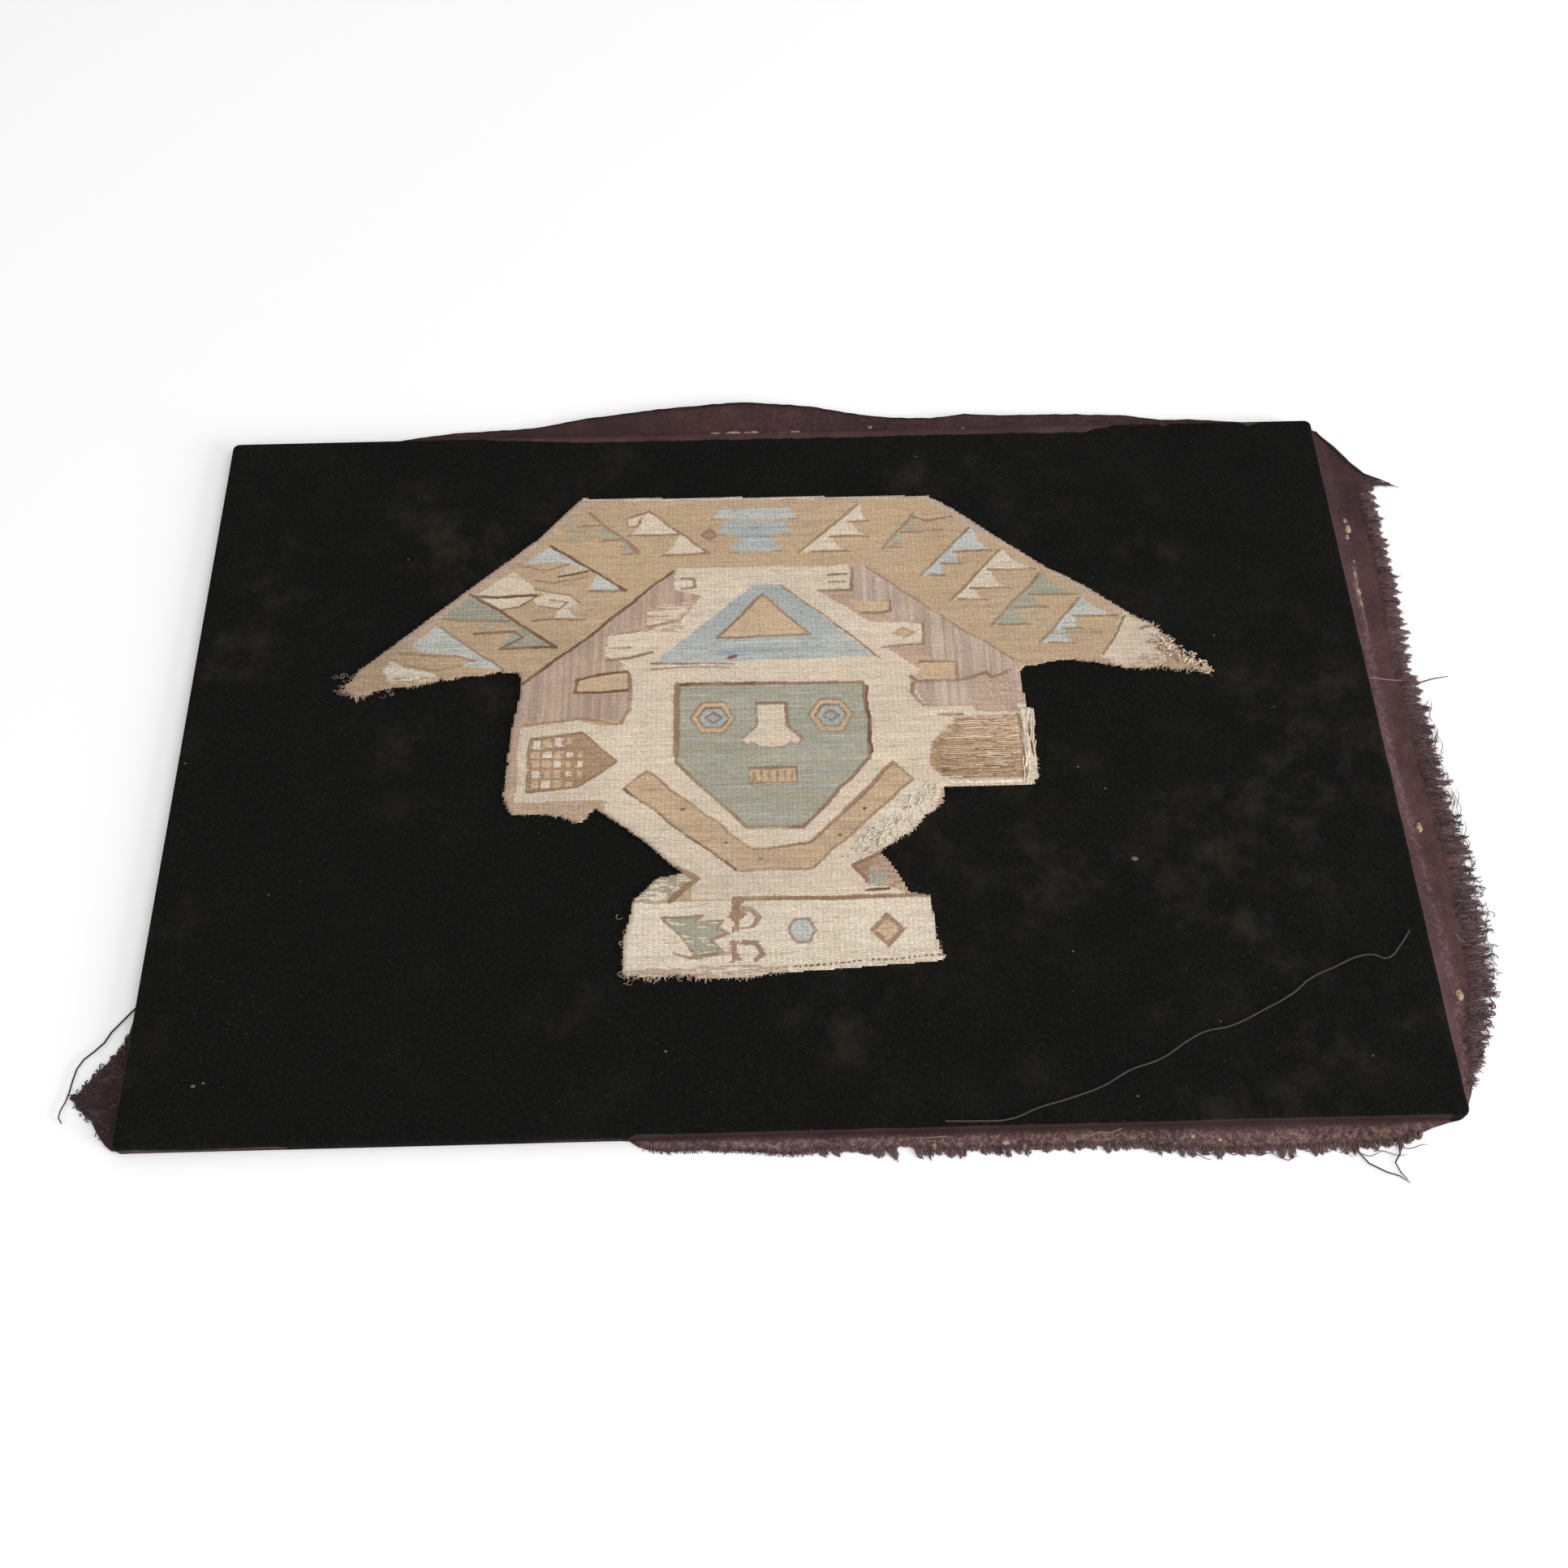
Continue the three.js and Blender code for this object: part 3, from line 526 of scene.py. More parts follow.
def tapestry_material():
    """Ribbed wool in the yarns' colours, with outlines of uneven strength drawn over them, and painted
    shade in the grooves between the ribs and in the slits.
    """
    material, nodes, shader = new_material("tapestry_wool", 0.92, 0.05)
    place = nodes.object_place()
    turn = nodes.value("turn")
    ribs = nodes.group(WEFT_RIBS, Vector=place, Warp_Pitch=WARP_PITCH, Weft_Pitch=WEFT_PITCH,
                       Turn=turn)
    wefts = nodes.group(WEFT_STREAKS, Vector=place, Turn=turn)
    frayed = nodes.noise(place, 500.0, 3.0, 0.7)

    gap = nodes.math("MULTIPLY_ADD", nodes.centred(frayed), 1.1, nodes.value("outline_gap"))
    on_line = nodes.inverse(nodes.span(gap, -0.22, 0.16))
    tone = nodes.value("outline_tone")
    fade = nodes.span(nodes.noise(place, 45.0, 3.0), 0.34, 0.60)
    strength = nodes.math("MULTIPLY_ADD", fade, 0.35, nodes.math("MULTIPLY_ADD", tone, 0.45, 0.3))
    outline = nodes.mix(nodes.span(tone, 0.4, 1.0), OUTLINE_SOFT, OUTLINE_DARK)
    yarn = nodes.attribute("yarn")["Color"]
    drawn = nodes.mix(nodes.math("MULTIPLY", on_line, strength), yarn, outline)

    # Painted shade in the grooves between the ribs and in the slits.
    valley = nodes.inverse(nodes.span(ribs["Height"], 0.1, 0.9))
    recess_shade = nodes.math("MULTIPLY_ADD", wefts["Slit"], 0.34, nodes.math("MULTIPLY", valley, 0.15))
    # The drawn colour, darkened with painted shade in the grooves and slits.
    worn = nodes.mix(recess_shade, drawn, PAINTED_RECESS_SHADE)
    light = nodes.math("MULTIPLY_ADD", wefts["Streak"], 0.5, 0.76)
    dye(nodes, shader, nodes.shade(worn, light), 0.16, 0.55)
    height = nodes.math("MULTIPLY_ADD", on_line, 0.5, nodes.math("ADD", ribs["Height"], frayed))
    add_bump(nodes, shader, height, 0.00028)
    return material


def yarn_material(name):
    """Yarn whose strands differ: the attribute strand goes from dark, 0, to light, 1."""
    light, dark = LOOSE_YARNS[name]
    material, nodes, shader = new_material(name, 0.9, 0.05)
    place = nodes.object_place()
    uneven = nodes.centred(nodes.noise(place, 420.0, 3.0))
    tone = nodes.math("MULTIPLY_ADD", uneven, 1.2, nodes.value("strand"))
    dye(nodes, shader, nodes.mix(tone, dark, light), 0.4, 0.6)
    add_bump(nodes, shader, nodes.noise(place, 2500.0, 2.0), 0.00005)
    return material


def board_material():
    material, nodes, shader = new_material("mount_board", 0.85)
    dye(nodes, shader, BOARD_BROWN, 0.25, 0.35)
    add_bump(nodes, shader, nodes.noise(nodes.object_place(), 700.0, 4.0), 0.0001, 0.5)
    return material


def glue_material():
    material, nodes, shader = new_material("dried_glue", 0.6)
    place = nodes.object_place()
    tone = nodes.span(nodes.noise(place, 700.0, 3.0), 0.35, 0.65)
    nodes.link(nodes.mix(tone, GLUE_DARK, GLUE_LIGHT), shader.inputs["Base Color"])
    add_bump(nodes, shader, nodes.noise(place, 900.0, 2.0), 0.0002)
    return material


def lint_material():
    material, nodes, shader = new_material("lint", 0.95)
    tone = nodes.noise(nodes.object_place(), 1200.0)
    nodes.link(nodes.mix(tone, LINT_DARK, LINT_LIGHT), shader.inputs["Base Color"])
    return material


# Strands: thin four-sided tubes, joined into one mesh

YARN_SIDES = 4


class Strands:
    """Many yarns of one piece. Places are in millimetres (x, y, z)."""

    def __init__(self, name, material, taper=0.45):
        self.name = name
        self.material = material
        self.taper = taper
        self.paths = []
        self.radii = []
        self.tones = []

    def add(self, path, radius, tone):
        self.paths.append(path)
        self.radii.append(radius)
        self.tones.append(tone)

    def tubes(self):
        """A mesh of all the yarns, thinner towards their ends."""
        data = bpy.data.curves.new(self.name, "CURVE")
        data.dimensions = "3D"
        data.bevel_depth = MM
        data.bevel_resolution = 0
        data.use_fill_caps = True
        data.resolution_u = 1
        for path, radius in zip(self.paths, self.radii):
            spline = data.splines.new("POLY")
            spline.points.add(len(path) - 1)
            for point, place, share in zip(spline.points, path, shares(len(path))):
                point.co = (*at(*place), 1.0)
                point.radius = radius * (1 - self.taper * share ** 3)
        curve = new_object(self.name + "_line", data)
        bpy.context.view_layer.update()
        graph = bpy.context.evaluated_depsgraph_get()
        mesh = bpy.data.meshes.new_from_object(curve.evaluated_get(graph))
        mesh.name = self.name
        bpy.data.objects.remove(curve)
        bpy.data.curves.remove(data)
        return mesh

    def make(self):
        mesh = self.tubes()
        caps = np.repeat(self.tones[::-1], 2 * YARN_SIDES)
        walls = np.repeat(self.tones, [len(path) * YARN_SIDES for path in self.paths])
        tone = mesh.attributes.new("strand", "FLOAT", "POINT")
        tone.data.foreach_set("value", np.concatenate([caps, walls]))
        bm = bmesh.new()
        bm.from_mesh(mesh)
        bmesh.ops.remove_doubles(bm, verts=bm.verts, dist=0.0001 * MM)
        bpy.data.meshes.remove(mesh)
        return add_piece(self.name, bm, self.material)


# The loose thread

def make_loose_thread():
    """The single brown thread that lies across the black cloth."""
    height = CLOTH_TOP + THREAD_GAP + THREAD_DIAMETER / 2
    data = bpy.data.curves.new("loose_thread_yarn", "CURVE")
    data.dimensions = "3D"
    data.bevel_depth = THREAD_DIAMETER / 2 * MM
    data.bevel_resolution = 2
    data.use_fill_caps = True
    data.resolution_u = 6
    spline = data.splines.new("BEZIER")
    spline.bezier_points.add(len(THREAD_ROUTE) - 1)
    for point, (x, y) in zip(spline.bezier_points, THREAD_ROUTE):
        point.co = at(x, y, height)
        point.handle_left_type = "AUTO"
        point.handle_right_type = "AUTO"
    thread = new_object("loose_thread_yarn", data)
    thread.data.materials.append(yarn_material("loose_thread"))
    return thread


# The ground cloth

SIDES = {
    "front": {"middle": (0, -HALF_WIDTH), "out": (0, -1), "margin": FRONT_MARGIN},
    "right": {"middle": (HALF_LENGTH, 0), "out": (1, 0), "margin": RIGHT_MARGIN},
    "back": {"middle": (0, HALF_WIDTH), "out": (0, 1), "margin": BACK_MARGIN},
    "left": {"middle": (-HALF_LENGTH, 0), "out": (-1, 0), "margin": LEFT_MARGIN},
}
# The steps of a fold: the arc at the face's edge, one on the wall, the arc at its foot, the margin
FOLD_STEPS = 18
ARC_STEPS = 3
ARC_STEP_DEGREES = 30
WALL_STEP = 4
MARGIN_FIRST_STEP = 8
FACE_STEP = 3.0

# The cloth sags and swells a little
FACE_SINK = 0.1
FACE_SWELL = 0.12
MARGIN_RIPPLE = 0.35
RAGGED_EDGE = 0.5


def margin_at(side, along):
    """Reach of the cloth, reach of the tips and lift at a place along a side."""
    rows = SIDES[side]["margin"]
    straight = (WALL_OUT, 0.0, 0.0)
    half = HALF_LENGTH if side in ("front", "back") else HALF_WIDTH
    if along <= rows[0][0]:
        share = smooth((along + half) / (rows[0][0] + half))
        return tuple(mix(a, b, share) for a, b in zip(straight, rows[0][1:]))
    if along >= rows[-1][0]:
        share = smooth((half - along) / (half - rows[-1][0]))
        return tuple(mix(a, b, share) for a, b in zip(straight, rows[-1][1:]))
    for before, after in zip(rows, rows[1:]):
        if along <= after[0]:
            share = (along - before[0]) / (after[0] - before[0])
            return tuple(mix(a, b, share) for a, b in zip(before[1:], after[1:]))


def arc_place(radius, degrees):
    """How far in and how far down a rounded edge has come at an angle."""
    angle = math.radians(degrees)
    return radius * (1 - math.sin(angle)), radius * (1 - math.cos(angle))


def fold_place(reach, lift, step):
    """Where the cloth's outer face is, step by step from the start of the fold: (out, height)."""
    wall_top = CLOTH_TOP - FOLD_RADIUS
    if step <= ARC_STEPS:
        inward, down = arc_place(FOLD_RADIUS, ARC_STEP_DEGREES * step)
        return WALL_OUT - inward, CLOTH_TOP - down
    share = (step - MARGIN_FIRST_STEP) / (FOLD_STEPS - MARGIN_FIRST_STEP)
    if reach < WALL_OUT:
        radius = min(FOOT_RADIUS, (WALL_OUT - reach) / 2)
        if step == WALL_STEP:
            return WALL_OUT, mix(wall_top, radius, 0.5)
        if share < 0:
            inward, up = arc_place(radius, 90 - ARC_STEP_DEGREES * (step - WALL_STEP - 1))
            return WALL_OUT - inward, up
        return mix(WALL_OUT - radius, reach, share), 0.0
    length = reach - WALL_OUT
    run = min(SHOULDER_RUN, max(length, 0.01))
    shoulder = SHOULDER_HEIGHT * min(1.0, length / SHOULDER_RUN)
    foot = mix(SHORT_MARGIN_TOP, MARGIN_TOP, min(1.0, length / 2)) + shoulder
    if share < 0:
        wall_share = (step - ARC_STEPS) / (MARGIN_FIRST_STEP - ARC_STEPS)
        return WALL_OUT, mix(wall_top, foot, wall_share)
    distance = length * share
    drop = shoulder * max(0.0, 1 - distance / run) ** 2 - shoulder
    return WALL_OUT + distance, foot + drop + lift * share ** 2


def face_lines(half):
    """Places of the grid's lines across the face: pairs of a place and a share of the corner."""
    straight = half - CORNER_ROUND
    count = round(2 * straight / FACE_STEP)
    lines = [(-straight, 1.0), (-straight, 0.5)]
    lines += [(mix(-straight, straight, index / count), 0.0) for index in range(count + 1)]
    return lines + [(straight, 0.5), (straight, 1.0)]


def corner_shift(line, out):
    """Place along a side of a line that runs out of the rounded corner as a ray."""
    place, share = line
    return place + math.copysign(share * (CORNER_ROUND + out), place) if share else place


def round_corner(x, y):
    """Pulls the square corner of the plan in to a round one."""
    over_x = abs(x) - (HALF_LENGTH - CORNER_ROUND)
    over_y = abs(y) - (HALF_WIDTH - CORNER_ROUND)
    if over_x <= 0 or over_y <= 0:
        return x, y
    reach = max(over_x, over_y)
    angle = math.radians(45 * min(over_x, over_y) / reach)
    longer, shorter = reach * math.cos(angle), reach * math.sin(angle)
    new_x, new_y = (longer, shorter) if over_x >= over_y else (shorter, longer)
    return (math.copysign(HALF_LENGTH - CORNER_ROUND + new_x, x),
            math.copysign(HALF_WIDTH - CORNER_ROUND + new_y, y))


def brown_over_face(x):
    """How far the brown of the back margin reaches on to the face, in millimetres."""
    spread = smooth((x + 160) / 110) * smooth((150 - x) / 22)
    patches = 2.2 * max(0.0, noise.noise(Vector((x / 9, 2.0, 5.0)))) * smooth((x - 120) / 20)
    return 3.6 * spread + 2.4 * patches - 0.8


def crest_of_right_margin(along):
    """Where the worn line runs along the right margin."""
    return float(np.interp(along, [-150, -108, -60, -18, 30, 73], [3, 7.5, 6.5, 3.8, 4.7, 6.4]))


def looseness(side, along, reach, step):
    """Below 0 where the cloth is black and above 0 where the brown of a loose margin shows."""
    opened = 2 * smooth((reach - WALL_OUT - 0.2) / 1.0) - 1
    past_fold = (step - 1.2) / 1.5
    if side == "back":
        return min(opened, max(past_fold, brown_over_face(along) / 2))
    if side == "front" and reach < WALL_OUT:
        worn = max(smooth((-165 - along) / 12), 0.8 * smooth((along + 100) / 15))
        return mix(-0.5, mix(-0.4, 0.45, 0.75 * worn), smooth((step - 1.5) / 2.5))
    return min(opened, past_fold)


def gold_and_painted_shade(side, along, out, share):
    """How golden a margin is, and how much painted shade it has, from its fold, share 0, to its edge,
    share 1.
    """
    # The shade is painted: near the front fold, whose slope would catch the light, over the back flap
    # and the left margin, and on the right margin towards the back and off its worn crest.
    if side == "front":
        gold = smooth((share - 0.05) / 0.4) * (1 - smooth((along - 215) / 10))
        painted_shade = mix(0.85, 0.3, smooth((-155 - along) / 15)) * (1 - smooth((share - 0.1) / 0.35))
    elif side == "right":
        crest = 1 - min(1.0, abs(out - crest_of_right_margin(along)) / 2.6)
        gold = 0.08 + 0.55 * smooth(crest) * smooth((82 - along) / 12)
        painted_shade = 0.42 * smooth((along - 60) / 50) + 0.25 * smooth((along + 130) / 60) * (1 - crest)
    elif side == "back":
        gold = 0.15 * smooth((along + 70) / 40) * smooth(share * 4)
        painted_shade = mix(0.48, 0.72, smooth(share * 1.6))
    else:
        gold, painted_shade = 0.0, 0.75
    return gold, painted_shade


def ragged_place(side, along, reach, lift, step):
    """A place on the fold or the margin, which is ragged and rippled where it is loose."""
    share = (step - MARGIN_FIRST_STEP) / (FOLD_STEPS - MARGIN_FIRST_STEP)
    out, height = fold_place(reach, lift, step)
    if share > 0 and reach > WALL_OUT:
        ragged = noise.noise(Vector((along / 2.2, 7.0, share)))
        out += RAGGED_EDGE * share ** 2 * ragged * min(1.0, (reach - WALL_OUT) / 3)
        ripple = noise.noise(Vector((along / 16, out / 9, 11.0)))
        height += MARGIN_RIPPLE * smooth(share * 2) * abs(ripple)
    return out, height, share


def make_ground_cloth():
    """One grid: its middle is the face, and its outer lines are the folds and the margins."""
    across = face_lines(HALF_LENGTH)
    away = face_lines(HALF_WIDTH)
    columns = len(across) + 2 * FOLD_STEPS
    rows = len(away) + 2 * FOLD_STEPS
    bm = bmesh.new()
    bmesh.ops.create_grid(bm, x_segments=columns - 1, y_segments=rows - 1, size=1.0)
    loose = bm.verts.layers.float.new("loose")
    cut_edge_and_shadow = bm.verts.layers.float.new("cut_edge_and_shadow")
    golden = bm.verts.layers.float.new("golden")
    painted_shade = bm.verts.layers.float.new("painted_shade")
    fold_start = WALL_OUT - FOLD_RADIUS
    unwanted = []
    for index, vert in enumerate(bm.verts):
        column, row = index % columns, index // columns
        past_x = max(FOLD_STEPS - column, column - (columns - 1 - FOLD_STEPS), 0)
        past_y = max(FOLD_STEPS - row, row - (rows - 1 - FOLD_STEPS), 0)
        if past_x and past_y:
            unwanted.append(vert)
            continue
        line_x = across[min(max(column - FOLD_STEPS, 0), len(across) - 1)]
        line_y = away[min(max(row - FOLD_STEPS, 0), len(away) - 1)]
        if not past_x and not past_y:
            x, y = corner_shift(line_x, fold_start), corner_shift(line_y, fold_start)
            x, y = round_corner(x, y)
            swell = FACE_SWELL * noise.noise(Vector((x / 45, y / 45, 3.0)))
            vert.co = at(x, y, CLOTH_TOP - FACE_SINK + swell)
            past_line = y - (HALF_WIDTH - brown_over_face(x))
            vert[loose] = max(-1.0, min(1.0, past_line / 2))
            # Painted shade on the brown that shows on the face, more at the front than at the back.
            vert[painted_shade] = 0.35 if y > 0 else 0.6
            continue
        if past_x:
            side = "left" if column < FOLD_STEPS else "right"
            along = corner_shift(line_y, 0.0)
        else:
            side = "front" if row < FOLD_STEPS else "back"
            along = corner_shift(line_x, 0.0)
        step = max(past_x, past_y)
        reach, tips, lift = margin_at(side, along)
        out, height, share = ragged_place(side, along, reach, lift, step)
        if past_x:
            x = math.copysign(HALF_LENGTH + out, 1 if side == "right" else -1)
            y = corner_shift(line_y, out)
        else:
            x = corner_shift(line_x, out)
            y = math.copysign(HALF_WIDTH + out, 1 if side == "back" else -1)
        vert.co = at(*round_corner(x, y), height)
        vert[loose] = looseness(side, along, reach, step)
        # The margin darkens towards its cut edge: partly the edge's own colour, partly painted shadow
        # under it.
        vert[cut_edge_and_shadow] = smooth((share - 0.86) / 0.14) if reach > WALL_OUT and not tips else 0.0
        vert[golden], vert[painted_shade] = gold_and_painted_shade(side, along, out, share)
    bmesh.ops.delete(bm, geom=unwanted, context="VERTS")
    bmesh.ops.remove_doubles(bm, verts=bm.verts, dist=0.02 * MM)
    bmesh.ops.dissolve_degenerate(bm, edges=bm.edges, dist=0.01 * MM)
    cloth = add_piece("black_ground_cloth", bm, black_cloth_material())
    thickness = cloth.modifiers.new("thickness", "SOLIDIFY")
    thickness.thickness = CLOTH_THICKNESS * MM
    thickness.offset = -1.0
    return cloth


# The frayed edges

TUFT_WIDTH = (2.4, 5.0)
STRANDS_PER_MM = 4.2
STRAND_POINTS = 8
CROSS_THREAD_POINTS = 9
LOOP_POINTS = 11

# Heights of yarns above the table
EDGE_HEIGHT = 0.95
TIP_HEIGHT = 0.38
LOOP_HEIGHT = 0.8
PAST_EDGE_HEIGHT = 0.6

CUT_EDGE_THREAD = [
    (232.3, 150.4), (234.2, 147), (237.4, 142.2), (241.9, 135), (245, 130), (249.2, 126),
    (255, 124), (260.3, 120.4),
]
LOOPED_THREAD = [
    (-229.5, -99.5), (-232.2, -102.6), (-234.9, -106.1), (-237.9, -109.9), (-239.8, -113.8),
    (-242.8, -117.0), (-245.9, -119.8), (-247.7, -123.2), (-248.4, -127.3), (-248.8, -131.5),
    (-249.5, -135.0), (-250.7, -138.2), (-250.9, -140.6), (-249.5, -142.7),
]
STRAY_THREADS = {
    "right": [
        [(246, 119), (248.4, 119.6), (251.5, 120.9), (254.5, 121.4), (258, 121.2), (262, 119.6)],
        [(246, 22.4), (249, 22.0), (252, 22.8), (256, 24.0), (262.3, 25)],
    ],
    "front": [
        [(190, -160.5), (191, -164.5), (193.5, -168), (199, -171.2), (203, -172.6), (206, -175)],
        [(205, -161), (204.6, -165), (202.4, -168), (203.6, -171.5), (205.5, -174)],
    ],
    "left": [
        LOOPED_THREAD,
    ],
}


def side_place(side, along, out):
    """The place (x, y) at a distance out from a side of the board."""
    middle, outward = SIDES[side]["middle"], SIDES[side]["out"]
    if side in ("front", "back"):
        return along, middle[1] + outward[1] * out
    return middle[0] + outward[0] * out, along


def margin_height(side, along, out):
    """Height of a loose margin's upper face."""
    reach, _, lift = margin_at(side, along)
    if out >= reach:
        return PAST_EDGE_HEIGHT
    share = (out - WALL_OUT) / (reach - WALL_OUT)
    return fold_place(reach, lift, mix(MARGIN_FIRST_STEP, FOLD_STEPS, share))[1]


def lay_on_margin(side, places, rise):
    """A thread's path along places that lie on a margin or past its edge."""
    path = []
    for x, y in places:
        if side in ("front", "back"):
            along, out = x, abs(y) - HALF_WIDTH
        else:
            along, out = y, abs(x) - HALF_LENGTH
        path.append((x, y, margin_height(side, along, max(out, WALL_OUT)) + rise))
    return path


def curly_path(side, root, tip, start, end, curl, rng):
    """A strand that wanders and curls from the cloth's edge to its tip, lying on the table."""
    phase = rng.uniform(0, 2 * math.pi)
    turns = rng.uniform(0.6, 1.7)
    rise = rng.uniform(0.1, 0.9)
    path = []
    for share in shares(STRAND_POINTS):
        swing = curl * share * math.sin(phase + turns * 2 * math.pi * share) + rng.uniform(-0.1, 0.1)
        out = mix(start, end, share) + 0.5 * curl * share * math.cos(phase + turns * 5 * share)
        x, y = side_place(side, mix(root, tip, share) + swing, out)
        height = mix(EDGE_HEIGHT, TIP_HEIGHT, share) + rise * math.sin(math.pi * share)
        path.append((x, y, height))
    return path


def add_tufts(yarns, side, low, high, curl, rng, tones=(0.15, 0.6), overlap=4.5,
               fullness=(0.62, 1.06), gather_at=None):
    """Strands in pointed tufts, as they come out of the weave together."""
    along = low
    while along < high:
        width = rng.uniform(*TUFT_WIDTH)
        middle = along + width / 2
        cloth, tips, _ = margin_at(side, min(middle, high))
        full = rng.uniform(*fullness)
        lean = rng.gauss(0, 0.8)
        light = rng.uniform(*tones)
        count = int(width * STRANDS_PER_MM) if tips > cloth + 0.4 else 0
        for _ in range(count):
            root = along + rng.uniform(0, width)
            aside = abs(root - middle) / (width / 2)
            reach = full * rng.uniform(0.75, 1.0) * (1 - 0.5 * aside)
            end = mix(cloth, tips, reach)
            point = middle if gather_at is None else gather_at
            tip = mix(root, point, 0.9 * reach) + lean * reach + rng.gauss(0, 0.2)
            start = cloth - rng.uniform(0.6, overlap)
            path = curly_path(side, root, tip, start, end, curl, rng)
            yarns.add(path, rng.uniform(0.2, 0.3), light + rng.uniform(-0.2, 0.2))
        along += width * rng.uniform(0.9, 1.15)


def add_cross_threads(yarns, side, low, high, spacing, rng):
    """Threads of the other direction, which have slid out and lie across the fringe."""
    along = low
    while along < high:
        cloth, tips, _ = margin_at(side, along)
        if tips > cloth + 2:
            length = rng.uniform(4, 11)
            base = mix(cloth, tips, rng.uniform(0.1, 0.75))
            phase = rng.uniform(0, 6)
            path = []
            for share in shares(CROSS_THREAD_POINTS):
                out = base + 0.8 * math.sin(phase + 5 * share) + 0.5 * share
                x, y = side_place(side, along + length * share, out)
                path.append((x, y, EDGE_HEIGHT + 0.35 * math.sin(phase + 8 * share)))
            yarns.add(path, rng.uniform(0.12, 0.2), rng.uniform(0.5, 1.0))
        along += spacing * rng.uniform(0.5, 1.5)


def loop_path(x, y, z, radius, arc, rng):
    """A curl of yarn that lies nearly flat."""
    start = rng.uniform(0, 2 * math.pi)
    squash = rng.uniform(0.6, 1.0)
    path = []
    for share in shares(LOOP_POINTS):
        angle = start + arc * share
        spiral = radius * (1 - 0.3 * share)
        path.append((x + spiral * math.cos(angle), y + squash * spiral * math.sin(angle),
                     z + 0.25 * math.sin(angle * 1.5)))
    return path


def add_point_at_corner(yarns, rng):
    """The pointed bunch where the right fringe ends near the back corner."""
    for _ in range(26):
        root, tip = rng.uniform(119.5, 126), rng.uniform(120.5, 123)
        path = curly_path("right", root, tip, 19, rng.uniform(27, 31), 0.3, rng)
        yarns.add(path, 0.24, rng.uniform(0, 0.6))


def add_loops_in_fringe(yarns, rng):
    """Curls among the right fringe's strands, closest together near the front corner."""
    for _ in range(34):
        along = rng.uniform(-131, -60)
        cloth, tips, _ = margin_at("right", along)
        x, y = side_place("right", along, mix(cloth, tips, rng.uniform(0.2, 0.85)))
        path = loop_path(x, y, LOOP_HEIGHT, rng.uniform(0.9, 2.0), rng.uniform(3.5, 6), rng)
        yarns.add(path, rng.uniform(0.15, 0.22), rng.uniform(0.2, 0.8))
    for _ in range(70):
        along = rng.uniform(-134, -100)
        cloth, tips, _ = margin_at("right", along)
        out = mix(cloth, max(cloth, tips - 2), rng.uniform(-0.1, 0.9))
        x, y = side_place("right", along, out)
        path = loop_path(x, y, LOOP_HEIGHT, rng.uniform(0.8, 1.7), rng.uniform(4, 6), rng)
        yarns.add(path, rng.uniform(0.18, 0.26), rng.uniform(0.0, 0.6))


def add_short_ends(yarns, rng):
    """Short ends at the right margin's front, which get longer towards the fringe."""
    for _ in range(60):
        along = rng.uniform(-142, -130)
        cloth, _, _ = margin_at("right", along)
        length = rng.uniform(1.0, 4.5) * smooth((along + 146) / 14)
        tip = along + rng.uniform(-1.5, 0.5)
        path = curly_path("right", along, tip, cloth - 2, cloth + length, 0.5, rng)
        yarns.add(path, rng.uniform(0.2, 0.28), rng.uniform(0.2, 0.7))


def make_right_fringe(material):
    """The long fringe of the right margin, in layers of tufts."""
    rng = random.Random(3)
    yarns = Strands("right_fringe_yarn", material)
    add_tufts(yarns, "right", -131, 10, 0.7, rng)
    add_tufts(yarns, "right", 10, 122, 0.5, rng, tones=(0.45, 0.85))
    add_tufts(yarns, "right", -131, 122, 0.6, rng, tones=(0.1, 0.6), fullness=(0.3, 0.7))
    add_point_at_corner(yarns, rng)
    add_cross_threads(yarns, "right", -128, 10, 2.0, rng)
    add_loops_in_fringe(yarns, rng)
    add_short_ends(yarns, rng)
    for stray in STRAY_THREADS["right"]:
        yarns.add(lay_on_margin("right", stray, 0.25), 0.3, 0.3)
    yarns.add(lay_on_margin("right", CUT_EDGE_THREAD, 0.2), 0.5, -0.3)
    return yarns.make()


def make_bottom_fringe(material):
    """Short tufts along the front margin, and stubble to the left of them."""
    rng = random.Random(5)
    yarns = Strands("bottom_fringe_yarn", material)
    add_tufts(yarns, "front", 8, 212, 0.5, rng, tones=(0.45, 0.85), overlap=1.6,
              fullness=(0.2, 1.05))
    for _ in range(150):
        along = rng.uniform(-50, 10)
        cloth, _, _ = margin_at("front", along)
        tip = along + rng.uniform(-1.2, 1.2)
        path = curly_path("front", along, tip, cloth - 1.2, cloth + rng.uniform(0.2, 1.1), 0.4, rng)
        yarns.add(path, rng.uniform(0.18, 0.26), rng.uniform(0.3, 0.9))
    add_cross_threads(yarns, "front", 120, 205, 6.0, rng)
    for stray in STRAY_THREADS["front"]:
        yarns.add([(x, y, 0.7) for x, y in stray], 0.28, 0.2)
    return yarns.make()


